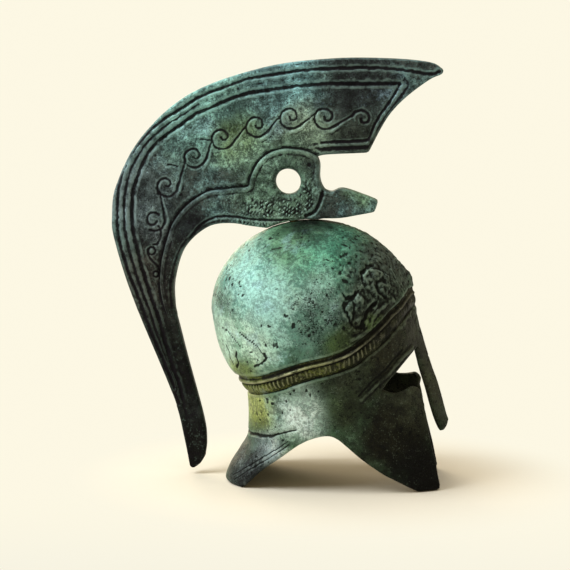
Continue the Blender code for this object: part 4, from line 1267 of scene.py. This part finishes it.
# Name, colours of body, bloom, oxide (also painted shade in crevices) and rubbed metal (also painted highlight
# on rims), shares of bloom and oxide, patches, depth in metres of the fine bumps, and strength of the mottling.
FINISHES = (
    ("aged bronze", ("3c5641", "64866f", "0a0c0a", "7f9183"), (0.4, 0.30), SHELL_PATCHES, 0.00040, 0.55),
    ("band bronze", ("2b3018", "6b7338", "060504", "bdbca6"), (0.45, 0.42), BAND_PATCHES, 0.00025, 0.8),
    ("dark bronze", ("3a4240", "68898a", "120e15", "869f98"), (0.45, 0.48), CREST_PATCHES, 0.00045, 1.10),
    ("pin bronze", ("5b4a2c", "6f7f5c", "14110b", "a98a52"), (0.3, 0.3), (), 0.00015, 1.0),
)


def make_materials():
    """Finishes of the shell, the band, the crest and the pin."""
    groups = {"patina": patina_group(), "patch": patch_group()}
    return [patina_material(name, groups, *finish) for name, *finish in FINISHES]


# Stage


PALE, FOREGROUND = (0.98, 0.935, 0.775, 1.0), (0.905, 0.880, 0.755, 1.0)
PAPER = (0.72, 0.675, 0.58, 1.0)
FILL, FILL_STRENGTH = (1.0, 0.80, 0.47, 1.0), 0.40
FLOOR_RADIUS, FLOOR_SIDES = 6.0, 96
# Metres from the helmet over which the paper takes its foreground tint in front, and its glow all round.
FOREGROUND_BLEND, GLOW_BLEND = (-0.04, -0.20), (0.038, 0.090)
# Name, place, size, power and tint of each light.
LIGHTS = (
    ("window", (-0.62, -0.26, 0.72), 0.50, 8.5, (0.94, 0.98, 1.0)),
    ("overhead", (-0.05, 0.05, 0.95), 0.90, 5.5, (0.97, 0.99, 1.0)),
    ("back card", (-0.45, 0.75, 0.35), 0.60, 6.0, (1.0, 0.84, 0.60)),
)
# The camera in degrees, metres and millimetres of lens, and its aim, forward and up in millimetres.
CAMERA_AZIMUTH, CAMERA_ELEVATION, CAMERA_DISTANCE, CAMERA_LENS = 6.0, 9.0, 0.590, 113.95
CAMERA_AIM = (-9.2, 64.0)


def make_floor(scene):
    """A round pale floor. Away from the helmet the paper glows evenly, as a lit sweep does."""
    turn = np.arange(FLOOR_SIDES) * 2 * np.pi / FLOOR_SIDES
    rim = FLOOR_RADIUS * np.stack([np.cos(turn), np.sin(turn), 0 * turn], axis=1)
    mesh = bpy.data.meshes.new("floor")
    mesh.from_pydata(rim.tolist(), [], [list(range(FLOOR_SIDES))])
    floor = bpy.data.objects.new("floor", mesh)
    scene.collection.objects.link(floor)
    paper = bpy.data.materials.new("pale paper")
    paper.use_nodes = True
    tree = paper.node_tree
    shader = tree.nodes["Principled BSDF"]
    fill(tree, shader, {"Base Color": PAPER, "Roughness": 0.9, "Specular IOR Level": 0.1})
    place = tree.nodes.new("ShaderNodeTexCoord").outputs["Object"]
    place = put(tree, "Mapping", {0: place, 1: (-0.018, 0.0, 0.0), 3: (1.0, 1.25, 1.0)}).outputs[0]
    away = put(tree, "VectorMath", {0: place}, operation="LENGTH").outputs["Value"]
    front = put(tree, "SeparateXYZ", {0: place}).outputs["Y"]
    even = mixed(tree, climb(tree, front, *FOREGROUND_BLEND), PALE, FOREGROUND)
    glow = put(tree, "Emission", {0: even, 1: 1.0}).outputs[0]
    mix = put(tree, "MixShader", {0: climb(tree, away, *GLOW_BLEND), 1: shader.outputs[0], 2: glow})
    tree.links.new(mix.outputs[0], tree.nodes["Material Output"].inputs[0])
    mesh.materials.append(paper)


def make_lights(scene):
    """A warm fill that the camera sees as pale paper, and soft square lamps."""
    world = bpy.data.worlds.new("studio")
    world.use_nodes = True
    scene.world = world
    tree = world.node_tree
    seen = put(tree, "Background", {0: PALE, 1: 1.0}).outputs[0]
    warm = put(tree, "Background", {0: FILL, 1: FILL_STRENGTH}).outputs[0]
    ray = tree.nodes.new("ShaderNodeLightPath").outputs["Is Camera Ray"]
    mix = put(tree, "MixShader", {0: ray, 1: warm, 2: seen})
    tree.links.new(mix.outputs[0], tree.nodes["World Output"].inputs[0])
    centre = Vector((0.0, 0.0, 0.06))
    for name, place, size, power, tint in LIGHTS:
        data = bpy.data.lights.new(name, "AREA")
        data.shape = "SQUARE"
        data.size = size
        data.energy = power
        data.color = tint
        light = bpy.data.objects.new(name, data)
        light.location = place
        light.rotation_euler = (centre - Vector(place)).to_track_quat("-Z", "Y").to_euler()
        scene.collection.objects.link(light)


def make_camera(scene):
    """The photograph's camera."""
    azimuth, elevation = np.radians(CAMERA_AZIMUTH), np.radians(CAMERA_ELEVATION)
    right = Vector((np.cos(azimuth), np.sin(azimuth), 0.0))
    level = np.cos(elevation)
    ahead = Vector((-np.sin(azimuth) * level, np.cos(azimuth) * level, -np.sin(elevation)))
    above = right.cross(ahead)
    aim = Vector(((AXIS_X + CAMERA_AIM[0]) * MM, 0.0, CAMERA_AIM[1] * MM))
    data = bpy.data.cameras.new("camera")
    data.sensor_width = 36.0
    data.lens = CAMERA_LENS
    data.clip_start, data.clip_end = 0.05, 20.0
    camera = bpy.data.objects.new("camera", data)
    turned = Matrix((right, above, -ahead)).transposed().to_4x4()
    camera.matrix_world = Matrix.Translation(aim - ahead * CAMERA_DISTANCE) @ turned
    scene.collection.objects.link(camera)
    scene.camera = camera
    scene.view_settings.view_transform = "Standard"


def main():
    shell_finish, band_finish, crest_finish, pin_finish = make_materials()
    make_skull(shell_finish)
    make_face(shell_finish)
    make_band(band_finish)
    make_plume(crest_finish)
    make_holder(crest_finish)
    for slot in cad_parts["crest_pin"].material_slots:
        slot.material = pin_finish
    scene = bpy.context.scene
    make_floor(scene)
    make_lights(scene)
    make_camera(scene)


main()
